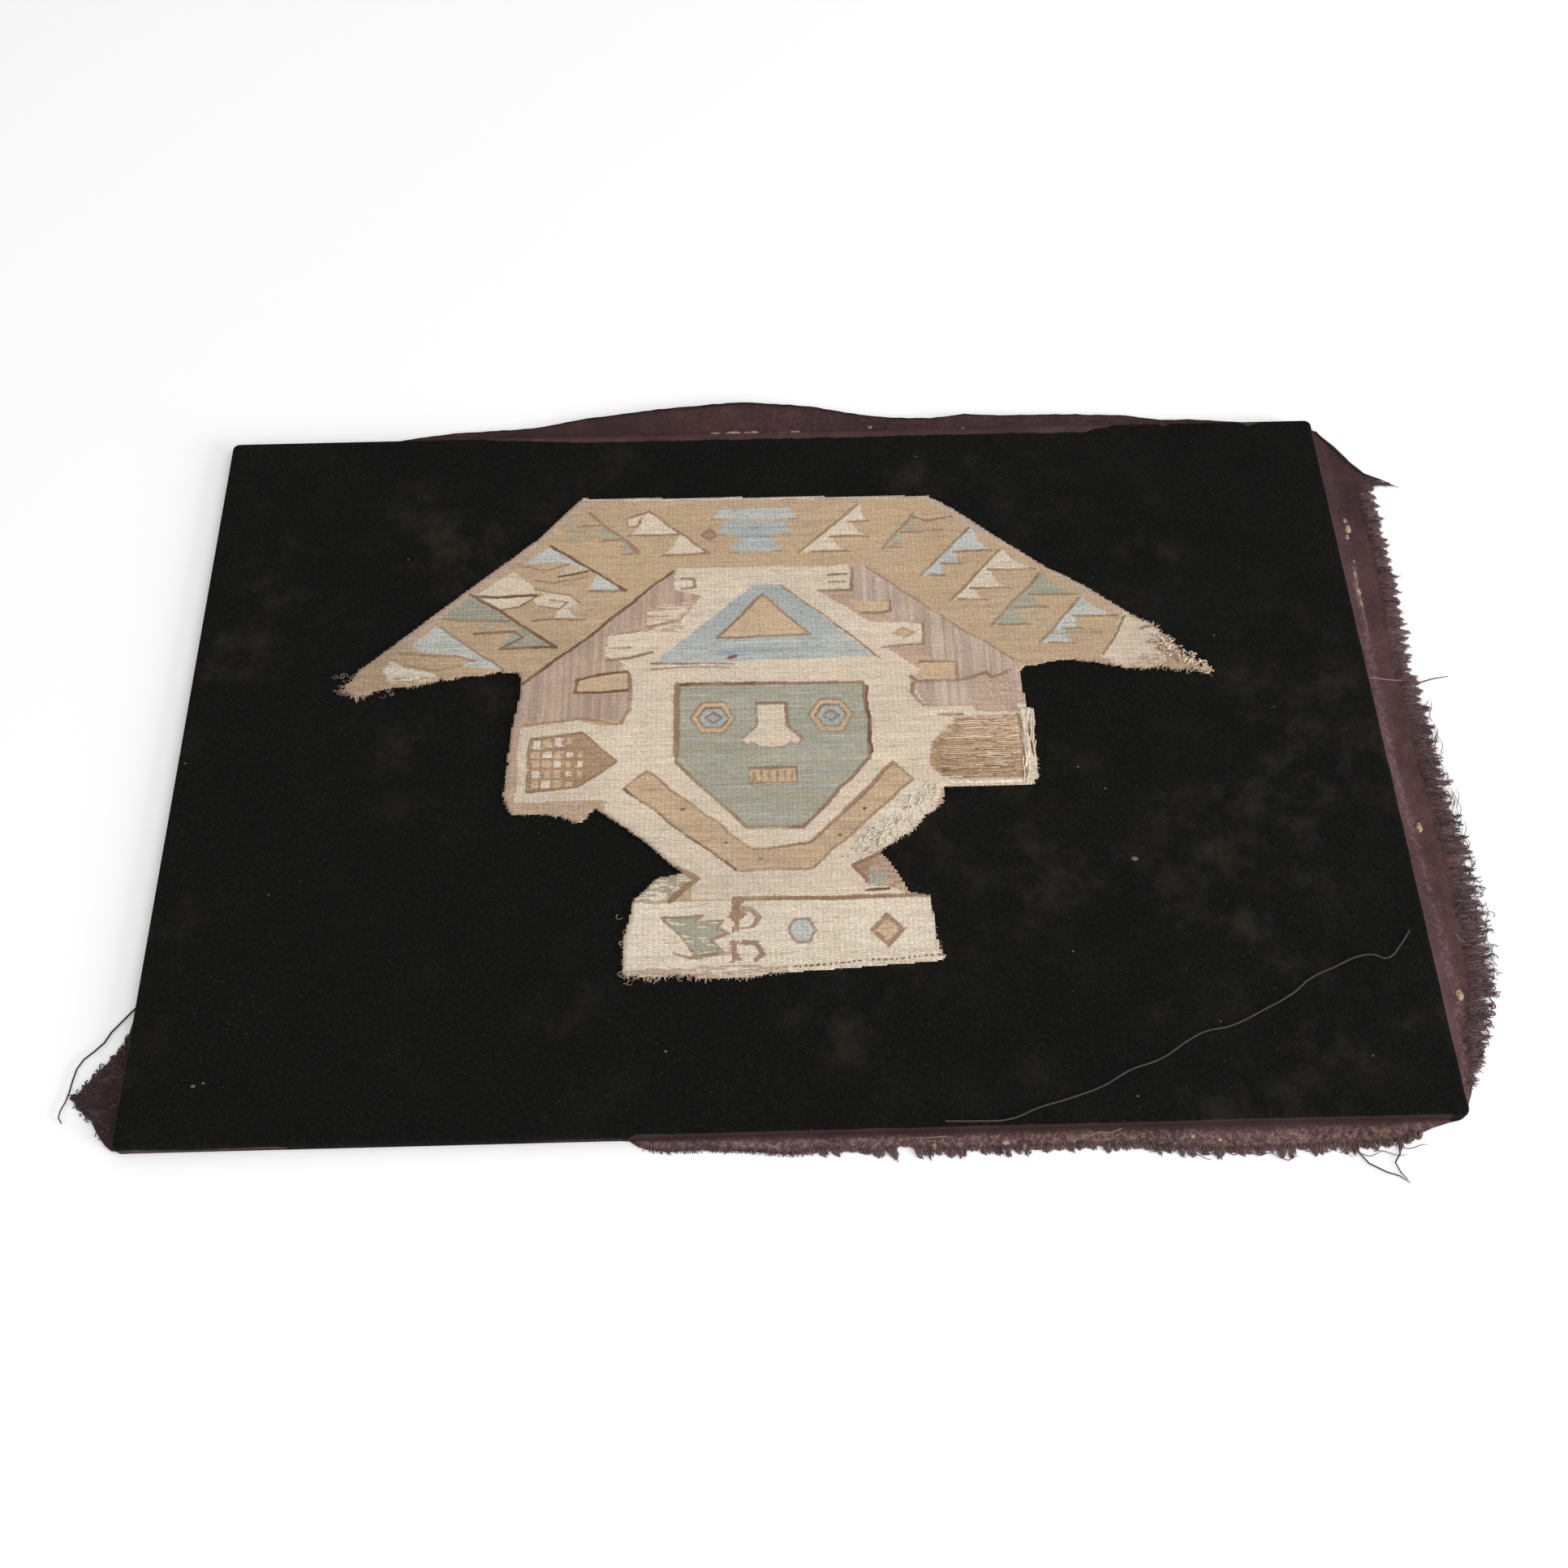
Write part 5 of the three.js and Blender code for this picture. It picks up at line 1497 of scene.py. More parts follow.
def paint_frame(chart):
    """The cream frame of the head, with its forked prongs, between two lilac wings."""
    chart.fill("lilac", [(-101, 26), (-73, 51), (-43, 80), (-20, 80.5), (-20, 10), (-101, 10)])
    chart.fill("pale_lilac", [(0, 80.5), (36, 80.5), (62, 58), (92, 33), (97, 10), (0, 10)])
    chart.line(DARK, [(-100, 27.5), (-73, 51), (-42, 80)], 1.35)
    chart.line(FAINT, [(36, 80), (62, 57.5), (92, 33)], 1.1)
    chart.fill("cream", [(-41, 81.5), (-41, 70.5), (-31, 67.5), (-36, 58.5), (-46, 54), (-52, 50.5),
                         (-68, 50), (-68, 40), (-61, 36), (-59, 30), (-58, 15), (-62, 8),
                         (-99, 6.5), (-101, -24), (-70, -27), (-34, -59), (-34, -67),
                         (44, -67), (25, -54), (42, -46), (58, -28), (62, -22), (94, -22), (98, 12),
                         (57, 12.5), (52, 22), (50, 27), (56, 28.5), (52, 33), (41, 41.5), (47, 52),
                         (38, 51.5), (16, 69), (29, 69), (29, 81)])
    chart.fill("pink", [(-52, 62), (-36, 65.5), (-31, 66.5), (-40, 57), (-52, 53)])
    chart.streak("cream", [(-52, 62), (-32, 66), (-40, 56), (-52, 53)], 0.4, 9)
    chart.streak("pink", [(-52, 53), (-40, 57), (-36, 52), (-50, 49), (-66, 50)], 0.3, 9)
    chart.line(FAINT, [(-52, 53.2), (-44, 54.5), (-38, 57)], 1.1)
    chart.line(FAINT, [(-68, 49.5), (-55, 51)], 1.1)
    chart.line(SOFT, [(-38.5, 76.5), (-33.5, 76), (-33, 71.6), (-38, 71)])
    chart.line(SOFT, [(-67.5, 37.8), (-59, 38.6), (-50, 40.8)], 1.3)
    chart.line(FAINT, [(-66, 43), (-58, 43.5)], 1.1)
    chart.fill("light_tan", [(-79, 29.4), (-70, 31), (-59, 32), (-60, 23), (-79, 22.4)])
    chart.line(DARK, [(-59, 32), (-70, 31), (-79, 29), (-79, 22.8), (-60, 23.4)], 1.3)
    chart.line(SOFT, [(-58.6, 31), (-58, 15), (-61.5, 8.5)], 1.6)
    chart.line(FAINT, [(-98, 8.4), (-76, 11.2), (-63, 8)], 1.1)
    chart.fill("pink", [(16, 69), (30, 68.4), (33, 63), (45, 58), (45, 52), (38, 51.5)])
    chart.fill("light_tan", [(28, 64), (44.5, 63), (44.5, 57.5), (33, 57.5)])
    chart.line(SOFT, [(44.5, 63.2), (44.8, 57.8), (33, 57.5)])
    chart.line(SOFT, [(30, 80), (30, 68.4), (16, 69)], 1.3)
    chart.line(SOFT, [(21, 76.4), (28, 76.6)])
    chart.line(FAINT, [(21, 73), (28, 72.8)], 1.0)
    chart.fill("cream", [(36, 53), (56, 51.5), (56.5, 42), (40, 41)])
    chart.line(SOFT, [(57, 51.5), (57, 42), (40.5, 41)], 1.5)
    chart.fill("light_tan", diamond((49.5, 47.5), 4.0, 2.2), FAINT, 1.0)
    chart.fill("pink", [(42, 40.6), (57, 41), (60, 33), (56, 29)])
    chart.fill("light_tan", [(55, 33.5), (69, 33), (69, 24.8), (54, 25.2)])
    chart.line(SOFT, [(55, 33.4), (69.4, 33), (69.4, 24.8)], 1.3)
    chart.line(SOFT, [(69.4, 24.8), (54, 24.6), (51, 27)], 1.5)
    over_ear = [(72, 24), (81, 27.5), (92, 26), (98, 9), (74, 10)]
    chart.fill("pink", over_ear)
    chart.streak("pale_lilac", over_ear, 0.4, 10)
    chart.line(SOFT, [(69, 24.6), (75, 26), (80, 28), (82, 25.6), (90, 28.5)], 1.4)
    chart.line(SOFT, [(52, 23.5), (51, 20), (56, 12.6)], 1.7)
    chart.fill("cream", [(56, 12.6), (74, 11.6), (74, 8), (58, 8)])
    chart.line(SOFT, [(60, 9.3), (70, 8.7)])
    chart.line(FAINT, [(-50, 33), (-36, 33.5), (-20, 33)], 1.0)


def paint_triangle(chart):
    """The pale blue triangle on the brow, with a small tan one in it."""
    blue = [(-10, 72), (1, 72), (38, 36.5), (-49, 35.6)]
    chart.fill("light_blue", blue)
    chart.fill("sky", [(-35, 47), (27, 47), (38, 36.5), (-49, 35.6)])
    chart.streak("light_blue", blue, 0.25, 12)
    chart.streak("deep_blue", box(-40, 39, 32, 43), 0.35, 14)
    chart.fill("light_tan", [(-6.5, 67.5), (-24, 47), (13, 47.5)], SOFT)
    chart.line(SOFT, [(1, 72), (20, 55), (39, 36.5)], 1.1)
    chart.line(SOFT, [(-50, 35.6), (-34, 35.2), (-18, 34.8)], 1.1)
    chart.line(DARK, [(-20, 37.6), (-17, 38.6)])


def paint_face(chart):
    """A calm mask on plain proportions: the eyes a quarter of the way down, the nose to the middle,
    the mouth two thirds down."""
    middle, top, chin, half = -3.5, 25.2, -38.0, 36.5
    height = top - chin
    panel = [(middle - half, top), (middle + half - 1, top), (middle + half + 1, top - 0.32 * height),
             (middle + half, top - 0.55 * height), (middle + 0.3 * half, chin),
             (middle - 0.28 * half, chin), (middle - half, top - 0.55 * height)]
    chart.fill("face_blue", panel, SOFT, 1.5)
    chart.streak("light_blue", panel, 0.07, 12)
    chart.streak("grey_green", panel, 0.10, 12)
    chart.line(DARK, [(middle - half, top), (middle - half * 0.2, top + 0.3)], 1.6)
    chart.line(SOFT, [(middle - half, top), (middle - half, top - 0.5 * height)], 2.6)
    chart.line(DARK, [(middle + half, top - 2), (middle + half + 1, top - 0.5 * height)], 1.8)
    eye_height = top - 0.24 * height
    for side in (-1, 1):
        eye = (middle + side * 0.62 * half, eye_height)
        chart.fill("light_tan", hexagon(eye, 8.6, 7.0), FAINT, 1.0)
        chart.fill("light_blue", hexagon(eye, 6.0, 4.6), SOFT, 1.0)
        chart.fill("deep_blue", diamond(eye, 3.0, 2.6), SOFT, 1.0)
    bridge, nose_foot = top - 0.14 * height, top - 0.44 * height
    stem = 0.15 * half
    wing = 0.31 * half
    nostril = bridge - 0.55 * (bridge - nose_foot)
    nose = [(middle - stem, bridge), (middle + stem, bridge), (middle + stem, nostril),
            (middle + wing, nose_foot + 2.6), (middle + wing - 1.5, nose_foot),
            (middle + 0.6 * wing, nose_foot + 1.2), (middle + 0.35 * wing, nose_foot - 1.2),
            (middle - 0.35 * wing, nose_foot - 1.2), (middle - 0.6 * wing, nose_foot + 1.2),
            (middle - wing + 1.5, nose_foot), (middle - wing, nose_foot + 2.6),
            (middle - stem, nostril)]
    chart.fill("cream", nose, FAINT, 1.1)
    chart.line(SOFT, [nose[0], nose[1], nose[2], nose[3]], 1.5)
    mouth_top, mouth_foot = top - 0.60 * height, top - 0.70 * height
    lip = 0.24 * half
    mouth = box(middle - lip, mouth_foot, middle + lip, mouth_top)
    chart.fill("light_tan", mouth, FAINT, 1.0)
    chart.line(SOFT, [(middle - lip, mouth_top), (middle + lip, mouth_top)], 1.3)
    for tooth in range(6):
        x = middle + lip * (tooth - 2.5) / 3.1
        chart.line(FAINT, [(x, mouth_top - 1.6), (x, mouth_foot + 1.2)], 1.1)


def paint_collar(chart):
    """The tan collar, and the pale worn cloth to the right of it."""
    collar = [(-51, -13), (-59.5, -20), (-17, -56), (10, -55.5), (49, -19), (42, -11), (9.5, -45),
              (-12, -47)]
    chart.fill("tan", collar, FAINT, 1.1)
    chart.streak("light_tan", collar, 0.4, 9)
    chart.line(DARK, [(-59.5, -20), (-38, -38.5), (-17, -56)])
    chart.line(SOFT, [(42, -12), (25, -30), (9.5, -45), (-12, -47)])
    for x, y in ((-38, -30), (-22, -44), (-9, -51), (20, -42), (30, -31)):
        chart.line(DARK, [(x, y), (x + 0.8, y + 0.2)], 1.1)
    arm = [(20, -52), (50, -19), (60, -24), (56, -32), (44, -46), (30, -50)]
    chart.fill("pale", arm)
    chart.fleck("rose_brown", arm, 0.015)
    chart.fleck("white", arm, 0.2)


def paint_left_ear(chart):
    """The left ear ornament: a brown panel set with small pale squares."""
    worn_edge = [(-108, 14), (-99, 8), (-100, -24), (-66, -25), (-69, -36), (-108, -32)]
    chart.fill("edge", worn_edge)
    chart.streak("tan", worn_edge, 0.5, 5)
    chart.fill("cream", [(-100, 7), (-78, 10.5), (-62, 5), (-60, -14), (-64, -23), (-78, -24),
                         (-96, -25.5), (-100, -25)])
    chart.streak("edge", [(-106, 26), (-98.5, 26), (-99, 7), (-106, 10)], 0.7, 5)
    ear = [(-96, 2), (-76, 4.5), (-62.5, -8.5), (-77, -19), (-96, -20.5)]
    chart.fill("ear_brown", ear, SOFT, 1.0)
    chart.streak("rose_brown", ear, 0.3, 5)
    for column in range(5):
        for row in range(5):
            x = -93.2 + 4.15 * column
            y = -0.2 - 4.3 * row + 0.5 * (row == 0) * column
            if column == 4 and row in (0, 4):
                continue
            yarn = "pale" if (column * 3 + row * 2) % 5 < 2 else "light_tan"
            half = 1.5 if column < 3 else 1.1
            chart.fill(yarn, box(x - half, y - half - 0.2, x + half, y + half))


def paint_right_ear(chart):
    """The right ear ornament, which is worn down to streaks, and its white edge."""
    ear = [(67, 7.5), (91, 8.5), (91, -19), (60, -19), (55.5, -13), (57, -3)]
    chart.fill("ear_brown", ear)
    upper = [(66, 8), (91, 9), (91, -2), (58, -2)]
    chart.streak("light_tan", upper, 0.7, 14)
    chart.streak("tan", ear, 0.4, 12)
    chart.streak("rose_brown", ear, 0.3, 12)
    chart.streak("brown", [(62, -7), (88, -5), (86, -17), (60, -17)], 0.15, 8)
    chart.streak("cream", ear, 0.08, 14)
    white_edge = [(91.5, 13), (101, 13), (101, -25), (91.5, -25)]
    chart.fill("cream", white_edge)
    chart.fleck("white", white_edge, 0.4)
    chart.fill("pale", [(58, -19.4), (94, -19.8), (94, -25), (58, -25)])
    chart.line(SOFT, [(91.2, 8), (91.6, -19)])
    chart.line(DARK, [(95.2, -4), (95.8, -9)], 2.2)
    chart.line(DARK, [(94.6, 4), (94.4, -1)], 1.3)
    chart.line(DARK, [(96.6, -13), (96.2, -17)], 1.3)
    chart.fill("pink", [(53, -23), (62, -22.6), (62, -30), (53, -30)])


def paint_band(chart):
    """The pale band below the head, with its small figures and a row of stitches."""
    ground = [(-62, -67.6), (62, -67.8), (64, -104), (-64, -104)]
    chart.fill("pale", ground)
    chart.fleck("white", ground, 0.12)
    shoulder = [(-56, -67), (-47, -57), (-38, -55.5), (-34, -60), (-41, -67)]
    chart.fill("pale", shoulder)
    chart.streak("grey_green", shoulder, 0.5, 4)
    chart.streak("pink", shoulder, 0.2, 4)
    chart.line(SOFT, [(-39.5, -54.5), (-32, -59), (-42, -67)], 2.2)
    right_shoulder = [(24.5, -54.5), (36, -47.5), (39, -55), (46, -64), (30, -63)]
    chart.fill("pink", right_shoulder)
    chart.streak("rose_brown", right_shoulder, 0.5, 4)
    chart.line(SOFT, [(36, -49), (25, -55), (30.5, -62)], 1.5)
    chart.fill("grey_green", [(31, -57), (37, -57.5), (37, -63.5), (30.5, -62.5)])
    chart.line(DARK, [(29, -65), (38, -64.2)], 1.1)
    chart.line(SOFT, [(-19, -66.8), (10, -67.2), (53, -67.6)], 1.8)
    chart.fill("blue_white", hexagon((5.4, -80.5), 5.0, 4.6), FAINT, 1.1)
    chart.fill("rose_brown", diamond((36, -80.5), 6.3, 6.3), SOFT, 1.1)
    chart.fill("light_tan", diamond((36, -80.5), 4.2, 4.2))
    chart.fill("rose_brown", [(-20, -67), (-16, -67), (-16.8, -71), (-14, -73), (-17.5, -75.5),
                              (-17.4, -80), (-20, -80.5), (-18.8, -76), (-21.5, -74), (-19, -71)])
    chart.line(SOFT, [(-19, -70.4), (-12.4, -71), (-9.6, -74), (-12.4, -78)], 2.0)
    chart.line(SOFT, [(-18.6, -84.4), (-11, -85), (-8.4, -88.8), (-11, -91)], 2.0)
    chart.fill("rose_brown", [(-20.4, -83.4), (-17.2, -84), (-18.4, -87.6), (-16.6, -91.6), (-20, -92)])
    chart.line(FAINT, [(-17, -78.8), (-13.4, -78.6)])
    leaf = [(-45, -74), (-30, -73.2), (-33, -76), (-23, -75.4), (-25, -78.5), (-20.5, -81),
            (-27, -83.5), (-22.5, -88.5), (-31.5, -89.5), (-38, -81.5)]
    chart.fill("grey_green", leaf, SOFT, 1.1)
    chart.streak("pale", leaf, 0.1, 3)
    chart.line(SOFT, [(-40, -87.6), (-35, -89.5), (-30, -90)])
    chart.line(SOFT, [(-29, -89.6), (-20, -88.6)])
    chart.streak("edge", [(-62, -93.5), (0, -93), (0, -104), (-62, -104)], 0.55, 4)
    for stitch in range(26):
        x = 2.0 + 2.15 * stitch
        y = mix(-94.2, -90.6, stitch / 25)
        chart.line(DARK, [(x, y), (x + 0.35, y)], 1.0)


def torn_outline():
    """The torn edge in short steps that wander in and out, more where it is rougher."""
    rng = random.Random(20)
    outline = []
    for (x1, y1, fray), (x2, y2, _) in zip(TORN_EDGE, TORN_EDGE[1:] + TORN_EDGE[:1]):
        length = math.hypot(x2 - x1, y2 - y1)
        steps = max(1, round(length / FRAY_STEP))
        wander = fray * (fray if fray < CALM_FRAY else 1)
        for step in range(steps):
            offset = rng.uniform(-1, 1) * wander if step else 0
            share = step / steps
            outline.append((mix(x1, x2, share) + (y2 - y1) / length * offset,
                            mix(y1, y2, share) - (x2 - x1) / length * offset, fray))
    return outline


def edge_distance(chart, outline):
    """Each cell's distance from the torn edge, and how rough the edge is there."""
    nearest = np.full(chart.true_x.shape, FAR_AWAY)
    fray = np.zeros(chart.true_x.shape)
    for (x1, y1, roughness), (x2, y2, _) in zip(outline, outline[1:] + outline[:1]):
        distance = segment_distance((x1, y1), (x2, y2), chart.true_x, chart.true_y)
        nearer = distance < nearest
        nearest[nearer] = distance[nearer]
        fray[nearer] = roughness
    return nearest, fray


def one_patch(kept):
    """Drops cells that hang by one side, and fills in where two cells touch only at a corner."""
    for _ in range(6):
        padded = np.pad(kept, 1).astype(int)
        beside = padded[:-2, 1:-1] + padded[2:, 1:-1] + padded[1:-1, :-2] + padded[1:-1, 2:]
        kept = (kept & (beside >= 2)) | (beside >= 3)
        rising = kept[:-1, :-1] & kept[1:, 1:] & ~kept[:-1, 1:] & ~kept[1:, :-1]
        kept[:-1, 1:] |= rising
        falling = kept[:-1, 1:] & kept[1:, :-1] & ~kept[:-1, :-1] & ~kept[1:, 1:]
        kept[:-1, :-1] |= falling
    return kept


def cloth_cells(chart, outline, rough, fray):
    """The cells that are left of the torn cloth. Some are lost along its rough edges."""
    kept = inside([(x, y) for x, y, _ in outline], chart.true_x, chart.true_y)
    chance = np.clip((fray - 0.5) * 0.5, 0, 0.35)
    lost = (rough < 0.5 + 0.5 * fray) & (chart.rng.uniform(0, 1, kept.shape) < chance)
    return one_patch(kept & ~lost)


def weave_colours(chart, rough, fray):
    """Colour and thread direction of each cell, with picks and single stitches a little uneven."""
    rng = chart.rng
    shape = chart.yarn.shape
    colours = np.zeros(shape + (3,))
    turn = np.zeros(shape)
    pick = smooth_field(shape, 14, rng) * 0.5 + rng.uniform(-1, 1, (shape[0], 1))
    end = rng.uniform(-1, 1, (1, shape[1])) + smooth_field(shape, 12, rng) * 0.5
    stitch = rng.uniform(-1, 1, shape)
    patch = smooth_field(shape, 34, rng)
    left_or_right = np.where(chart.true_x < 0, 1.3, 0.6)
    wings = np.clip((np.abs(chart.true_x) - 60) / 110, 0, 1) * left_or_right
    tips = np.clip((np.abs(chart.true_x + 4) - 135) / 12, 0, 1)
    for index, name in enumerate(chart.names):
        colour, by_pick, by_stitch, way = YARNS[name]
        cells = chart.yarn == index
        lines = end if way else pick
        value = 1 + by_pick * lines + by_stitch * stitch + 0.05 * patch - 0.16 * wings - 0.10 * tips
        for channel in range(3):
            colours[..., channel][cells] = (colour[channel] * value)[cells]
        turn[cells] = way
    colours[..., 2] /= 1 + 0.03 * smooth_field(shape, 20, rng)
    soiled = np.clip(1 - rough / (1.4 + 1.6 * fray), 0, 1) * np.clip(fray + 0.25, 0, 1) * 0.5
    for channel, value in enumerate(SOIL):
        colours[..., channel] += (value - colours[..., channel]) * soiled
    return np.clip(colours, 0.01, 0.9), turn


def shape_tapestry(chart, kept, rough):
    """The cells that are left as one sheet, with a hem down to the black cloth."""
    bm = bmesh.new()
    bmesh.ops.create_grid(bm, x_segments=chart.columns, y_segments=chart.rows, size=0.5)
    gone = []
    for face in bm.faces:
        centre = face.calc_center_median()
        if not kept[int((centre.y + 0.5) * chart.rows), int((centre.x + 0.5) * chart.columns)]:
            gone.append(face)
    bmesh.ops.delete(bm, geom=gone, context="FACES")
    gap = bm.verts.layers.float.new("outline_gap")
    tone = bm.verts.layers.float.new("outline_tone")
    settle = smooth_field((chart.rows + 1, chart.columns + 1), 16, chart.rng)
    width = CHART_HIGH[0] - CHART_LOW[0]
    height = CHART_HIGH[1] - CHART_LOW[1]
    for vert in bm.verts:
        share_x, share_y = vert.co.x + 0.5, vert.co.y + 0.5
        column, row = round(share_x * chart.columns), round(share_y * chart.rows)
        distance = rough[min(row, chart.rows - 1), min(column, chart.columns - 1)]
        vert[gap] = chart.gap[row, column]
        vert[tone] = chart.tone[row, column]
        droop = EDGE_DROOP * (1 - min(1.0, distance / DROOP_WIDTH)) ** 2
        relief = SURFACE_SWELL * settle[row, column] - droop
        vert.co = at(CHART_LOW[0] + share_x * width, CHART_LOW[1] + share_y * height,
                     TAPESTRY_TOP - SURFACE_SINK + relief)
    rim = [edge for edge in bm.edges if edge.is_boundary]
    hem = bmesh.ops.extrude_edge_only(bm, edges=rim)["geom"]
    for item in hem:
        if isinstance(item, bmesh.types.BMVert):
            item.co.z = (TAPESTRY_BOTTOM + HEM_RISE) * MM
    rim = [item for item in hem if isinstance(item, bmesh.types.BMEdge) and item.is_boundary]
    bmesh.ops.triangle_fill(bm, edges=rim, use_beauty=False)
    bmesh.ops.recalc_face_normals(bm, faces=bm.faces)
    return bm


def colour_tapestry(mesh, chart, colours, turn):
    """Gives each face its cell's colour and thread direction."""
    faces = len(mesh.polygons)
    centres = np.zeros(faces * 3)
    mesh.polygons.foreach_get("center", centres)
    centres = centres.reshape(-1, 3)
    x = (centres[:, 0] - BOARD_MIDDLE.x) / MM
    y = (centres[:, 1] - BOARD_MIDDLE.y) / MM
    column = np.clip(((x - CHART_LOW[0]) / CELL_WIDTH).astype(int), 0, chart.columns - 1)
    row = np.clip(((y - CHART_LOW[1]) / CELL_HEIGHT).astype(int), 0, chart.rows - 1)
    corners = np.zeros(faces, int)
    mesh.polygons.foreach_get("loop_total", corners)
    values = np.ones((faces, 4))
    values[:, :3] = colours[row, column]
    yarn = mesh.color_attributes.new("yarn", "FLOAT_COLOR", "CORNER")
    yarn.data.foreach_set("color", np.repeat(values, corners, axis=0).ravel())
    way = mesh.attributes.new("turn", "FLOAT", "CORNER")
    way.data.foreach_set("value", np.repeat(turn[row, column], corners))


def make_tapestry():
    chart = Chart()
    for paint in (paint_headdress, paint_frame, paint_triangle, paint_left_ear, paint_right_ear,
                  paint_face, paint_collar, paint_band):
        paint(chart)
    outline = torn_outline()
    rough, fray = edge_distance(chart, outline)
    kept = cloth_cells(chart, outline, rough, fray)
    colours, turn = weave_colours(chart, rough, fray)
    piece = add_piece("tapestry_fragment", shape_tapestry(chart, kept, rough), tapestry_material())
    colour_tapestry(piece.data, chart, colours, turn)
    return piece, outline


# Loose yarns of the tapestry

FIBRE_POINTS = 5
FIBRE_ROOT = 0.6
EAR_YARN_POINTS = 7
FLOAT_POINTS = 4

# Curls at the torn corners: low x, low y, high x, high y, how many, how light the lightest is
EDGE_CURLS = [
    (-174, 25, -165, 34, 24, -0.4), (-168, 24, -150, 27, 12, 0.1), (-60, -99, -30, -95, 16, 0.6),
    (-60, -94, -57, -72, 8, 0.6), (150, 27, 168, 33, 10, 0.6),
]
TIP_RIDGE = [(148, 42), (153, 39), (158, 34), (163, 29.6), (167.5, 26)]


def fibre_path(x, y, out, reach, lean):
    """A short fibre that comes out of the torn edge and droops on to the black cloth."""
    path = []
    for share in shares(FIBRE_POINTS):
        outward = (reach + FIBRE_ROOT) * share - FIBRE_ROOT
        sideways = (lean * reach + 0.35 * math.sin(3 * share + lean * 4) * reach) * share
        path.append((x + out[0] * outward + out[1] * sideways,
                     y + out[1] * outward - out[0] * sideways,
                     mix(TAPESTRY_TOP - 0.4, TAPESTRY_BOTTOM + 0.3, share)))
    return path


def make_torn_fibres(outline, material):
    """Short fibres that stand out of the torn edge, more and longer where it is rougher."""
    rng = random.Random(77)
    yarns = Strands("torn_edge_fibres", material)
    for (x1, y1, fray), (x2, y2, _) in zip(outline, outline[1:] + outline[:1]):
        length = math.hypot(x2 - x1, y2 - y1)
        out = (-(y2 - y1) / length, (x2 - x1) / length)
        for _ in range(int(length * (0.25 + 1.5 * fray * fray) + 0.5)):
            share = rng.random()
            reach = rng.uniform(0.3, 0.5 + 1.5 * fray * fray) * rng.uniform(0.5, 1)
            lean = rng.gauss(0, 0.8)
            path = fibre_path(mix(x1, x2, share), mix(y1, y2, share), out, reach, lean)
            yarns.add(path, rng.uniform(0.08, 0.16), rng.uniform(0.1, 1.0))
    height = TAPESTRY_BOTTOM + 0.5
    for low_x, low_y, high_x, high_y, count, lightest in EDGE_CURLS:
        for _ in range(count):
            x, y = rng.uniform(low_x, high_x), rng.uniform(low_y, high_y)
            path = loop_path(x, y, height, rng.uniform(0.6, 1.7), rng.uniform(3, 5.5), rng)
            yarns.add(path, rng.uniform(0.1, 0.17), rng.uniform(lightest - 0.6, lightest))
    return yarns.make()


def make_tip_loops(material):
    """The right tip, where the cream yarns have burst into loops."""
    rng = random.Random(12)
    yarns = Strands("tip_loops", material, taper=0.1)
    last = len(TIP_RIDGE) - 1
    for _ in range(110):
        place = rng.uniform(0, last - 0.001)
        start, end = TIP_RIDGE[int(place)], TIP_RIDGE[int(place) + 1]
        share = place - int(place)
        spread = mix(6.0, 1.0, place / last)
        x = mix(start[0], end[0], share) + rng.uniform(-2, 2)
        y = mix(start[1], end[1], share) + rng.uniform(-spread, 0.6 * spread)
        path = loop_path(x, y, TAPESTRY_TOP + 0.1, rng.uniform(0.5, 1.2), rng.uniform(2.2, 5), rng)
        yarns.add(path, rng.uniform(0.26, 0.42), rng.choice((0.95, 0.8, 0.7, 0.6, 0.5, 0.3)))
    return yarns.make()


def make_ear_yarns(material):
    """The right ear, worn down to its horizontal yarns."""
    rng = random.Random(31)
    yarns = Strands("right_ear_yarns", material, taper=0.2)
    height = 7.6
    while height > -18.6:
        left = np.interp(height, [-19, -13, -3, 7.5], [60, 56, 57.5, 67])
        start = left + rng.uniform(0, 5)
        base = np.interp(height, [-17, -10, -3, 0], [0.3, 0.6, 0.6, 0.8])
        while start < 89:
            end = min(90.5, start + rng.uniform(6, 26))
            path = []
            for share in shares(EAR_YARN_POINTS):
                sway = 0.18 * math.sin(7 * share + start)
                path.append((mix(start, end, share), height + sway, TAPESTRY_TOP + 0.03))
            yarns.add(path, rng.uniform(0.2, 0.3), base + rng.uniform(-0.35, 0.35))
            start = end + rng.uniform(0.5, 6)
        height -= rng.uniform(0.7, 1.1)
    return yarns.make()


def add_ear_edge_yarns(yarns, rng):
    """White yarns down the right ear's outer edge, and along its foot."""
    for _ in range(16):
        x = rng.uniform(92, 96.2)
        top = rng.uniform(-12, 12)
        foot = max(-21.6, top - rng.uniform(5, 16))
        path = []
        for share in shares(EAR_YARN_POINTS):
            y = mix(top, foot, share)
            sway = 0.4 * math.sin(5 * share + x) - 0.12 * max(0, -6 - y)
            path.append((x + sway, y, TAPESTRY_TOP + rng.uniform(-0.05, 0.2)))
        yarns.add(path, rng.uniform(0.22, 0.34), rng.uniform(0.7, 1.0))
    for _ in range(16):
        x = rng.uniform(58, 80)
        path = [(x + 2.4 * index, rng.uniform(-20.4, -21.6), TAPESTRY_TOP + 0.05) for index in range(6)]
        yarns.add(path, rng.uniform(0.2, 0.3), rng.uniform(0.7, 1.0))


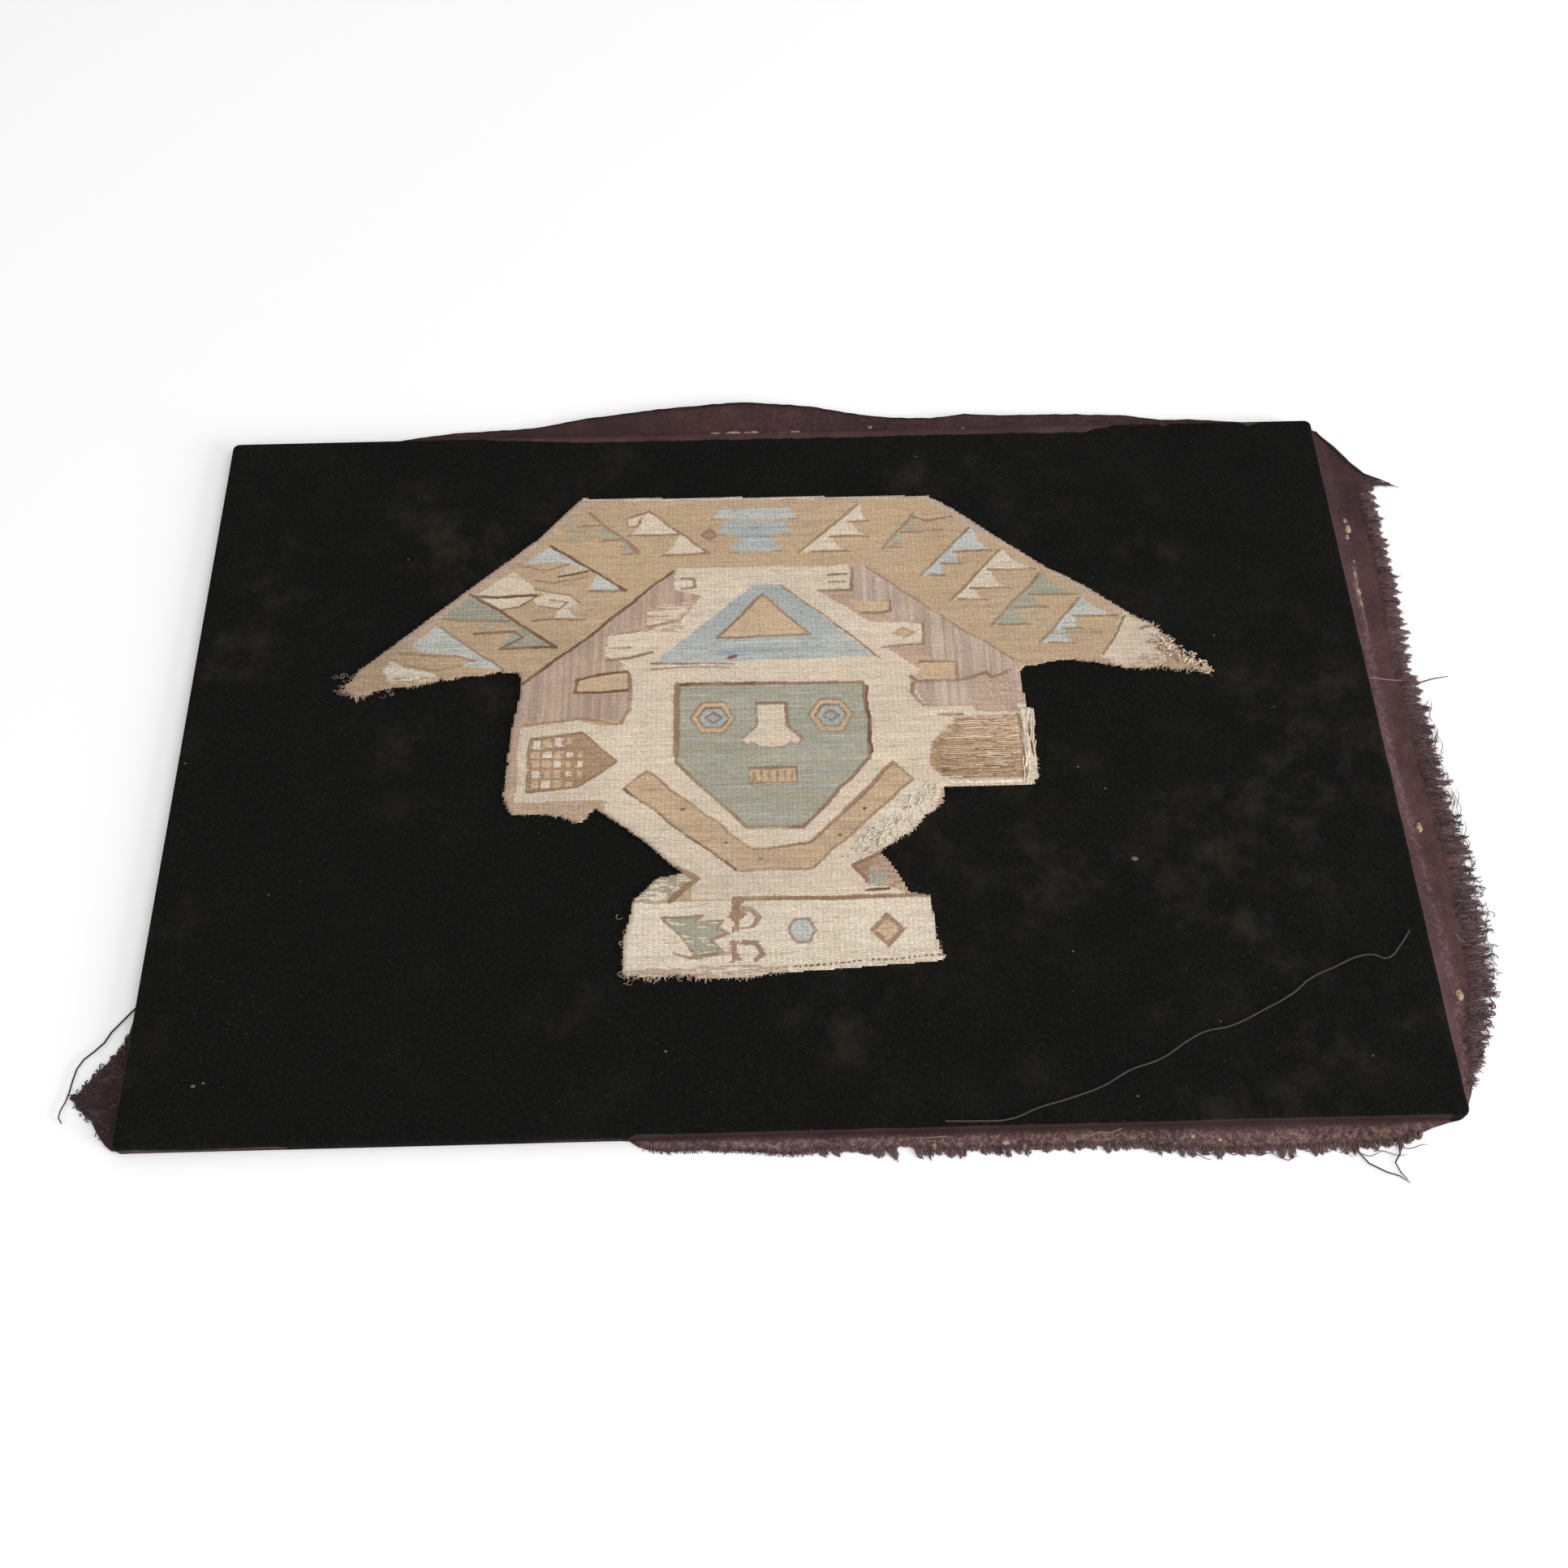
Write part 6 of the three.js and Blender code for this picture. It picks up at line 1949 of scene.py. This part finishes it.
def add_collar_floats(yarns, rng):
    """Short worn yarns that lie slanting on the cream beside the collar."""
    for _ in range(90):
        place = rng.random()
        x = mix(24, 56, place) + rng.uniform(-2.5, 2.5)
        y = mix(-51, -25, place) + rng.uniform(-4, 4)
        angle = rng.gauss(1.1, 0.45)
        length = rng.uniform(1.2, 3.4)
        path = []
        for share in shares(FLOAT_POINTS):
            path.append((x + length * share * math.cos(angle), y + length * share * math.sin(angle),
                         TAPESTRY_TOP + 0.15 * math.sin(math.pi * share)))
        yarns.add(path, rng.uniform(0.16, 0.27), rng.choice((1.0, 0.9, 0.85, 0.8, 0.75, 0.3)))


def make_white_yarns(material):
    rng = random.Random(44)
    yarns = Strands("white_edge_yarns", material, taper=0.15)
    add_ear_edge_yarns(yarns, rng)
    add_collar_floats(yarns, rng)
    return yarns.make()


def finish_piece(piece, slot, *nodes):
    """Puts a piece on the one body and hides the nodes that it stands for. The slot is not used."""
    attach(piece, "root")
    if nodes:
        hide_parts(*nodes)


make_camera()
make_studio()
thread = make_loose_thread()
finish_piece(thread, "brown_thread", "loose_thread")

cloth = make_ground_cloth()
finish_piece(cloth, "black_cloth", "ground_cloth")

fringe_yarn = yarn_material("fringe_yarn")
finish_piece(make_right_fringe(fringe_yarn), "frayed_yarn", "right_fringe")
finish_piece(make_bottom_fringe(fringe_yarn), "frayed_yarn", "bottom_fringe")
finish_piece(make_corner_fringe(fringe_yarn), "frayed_yarn", "corner_fringe")
finish_piece(make_margin_threads(yarn_material("margin_thread")), "frayed_yarn")
finish_piece(make_glue_line(yarn_material("glue_line")), "black_cloth")
finish_piece(make_glue(), "black_cloth")
finish_piece(make_lint(), "black_cloth")

tapestry, torn = make_tapestry()
finish_piece(tapestry, "tapestry_wool", "tapestry")
finish_piece(make_torn_fibres(torn, yarn_material("torn_edge_yarn")), "tapestry_wool")
finish_piece(make_tip_loops(yarn_material("cream_yarn")), "tapestry_wool")
finish_piece(make_ear_yarns(yarn_material("ear_yarn")), "tapestry_wool")
finish_piece(make_white_yarns(yarn_material("white_yarn")), "tapestry_wool")

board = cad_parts["mount_board"]
board.data.materials.clear()
board.data.materials.append(board_material())
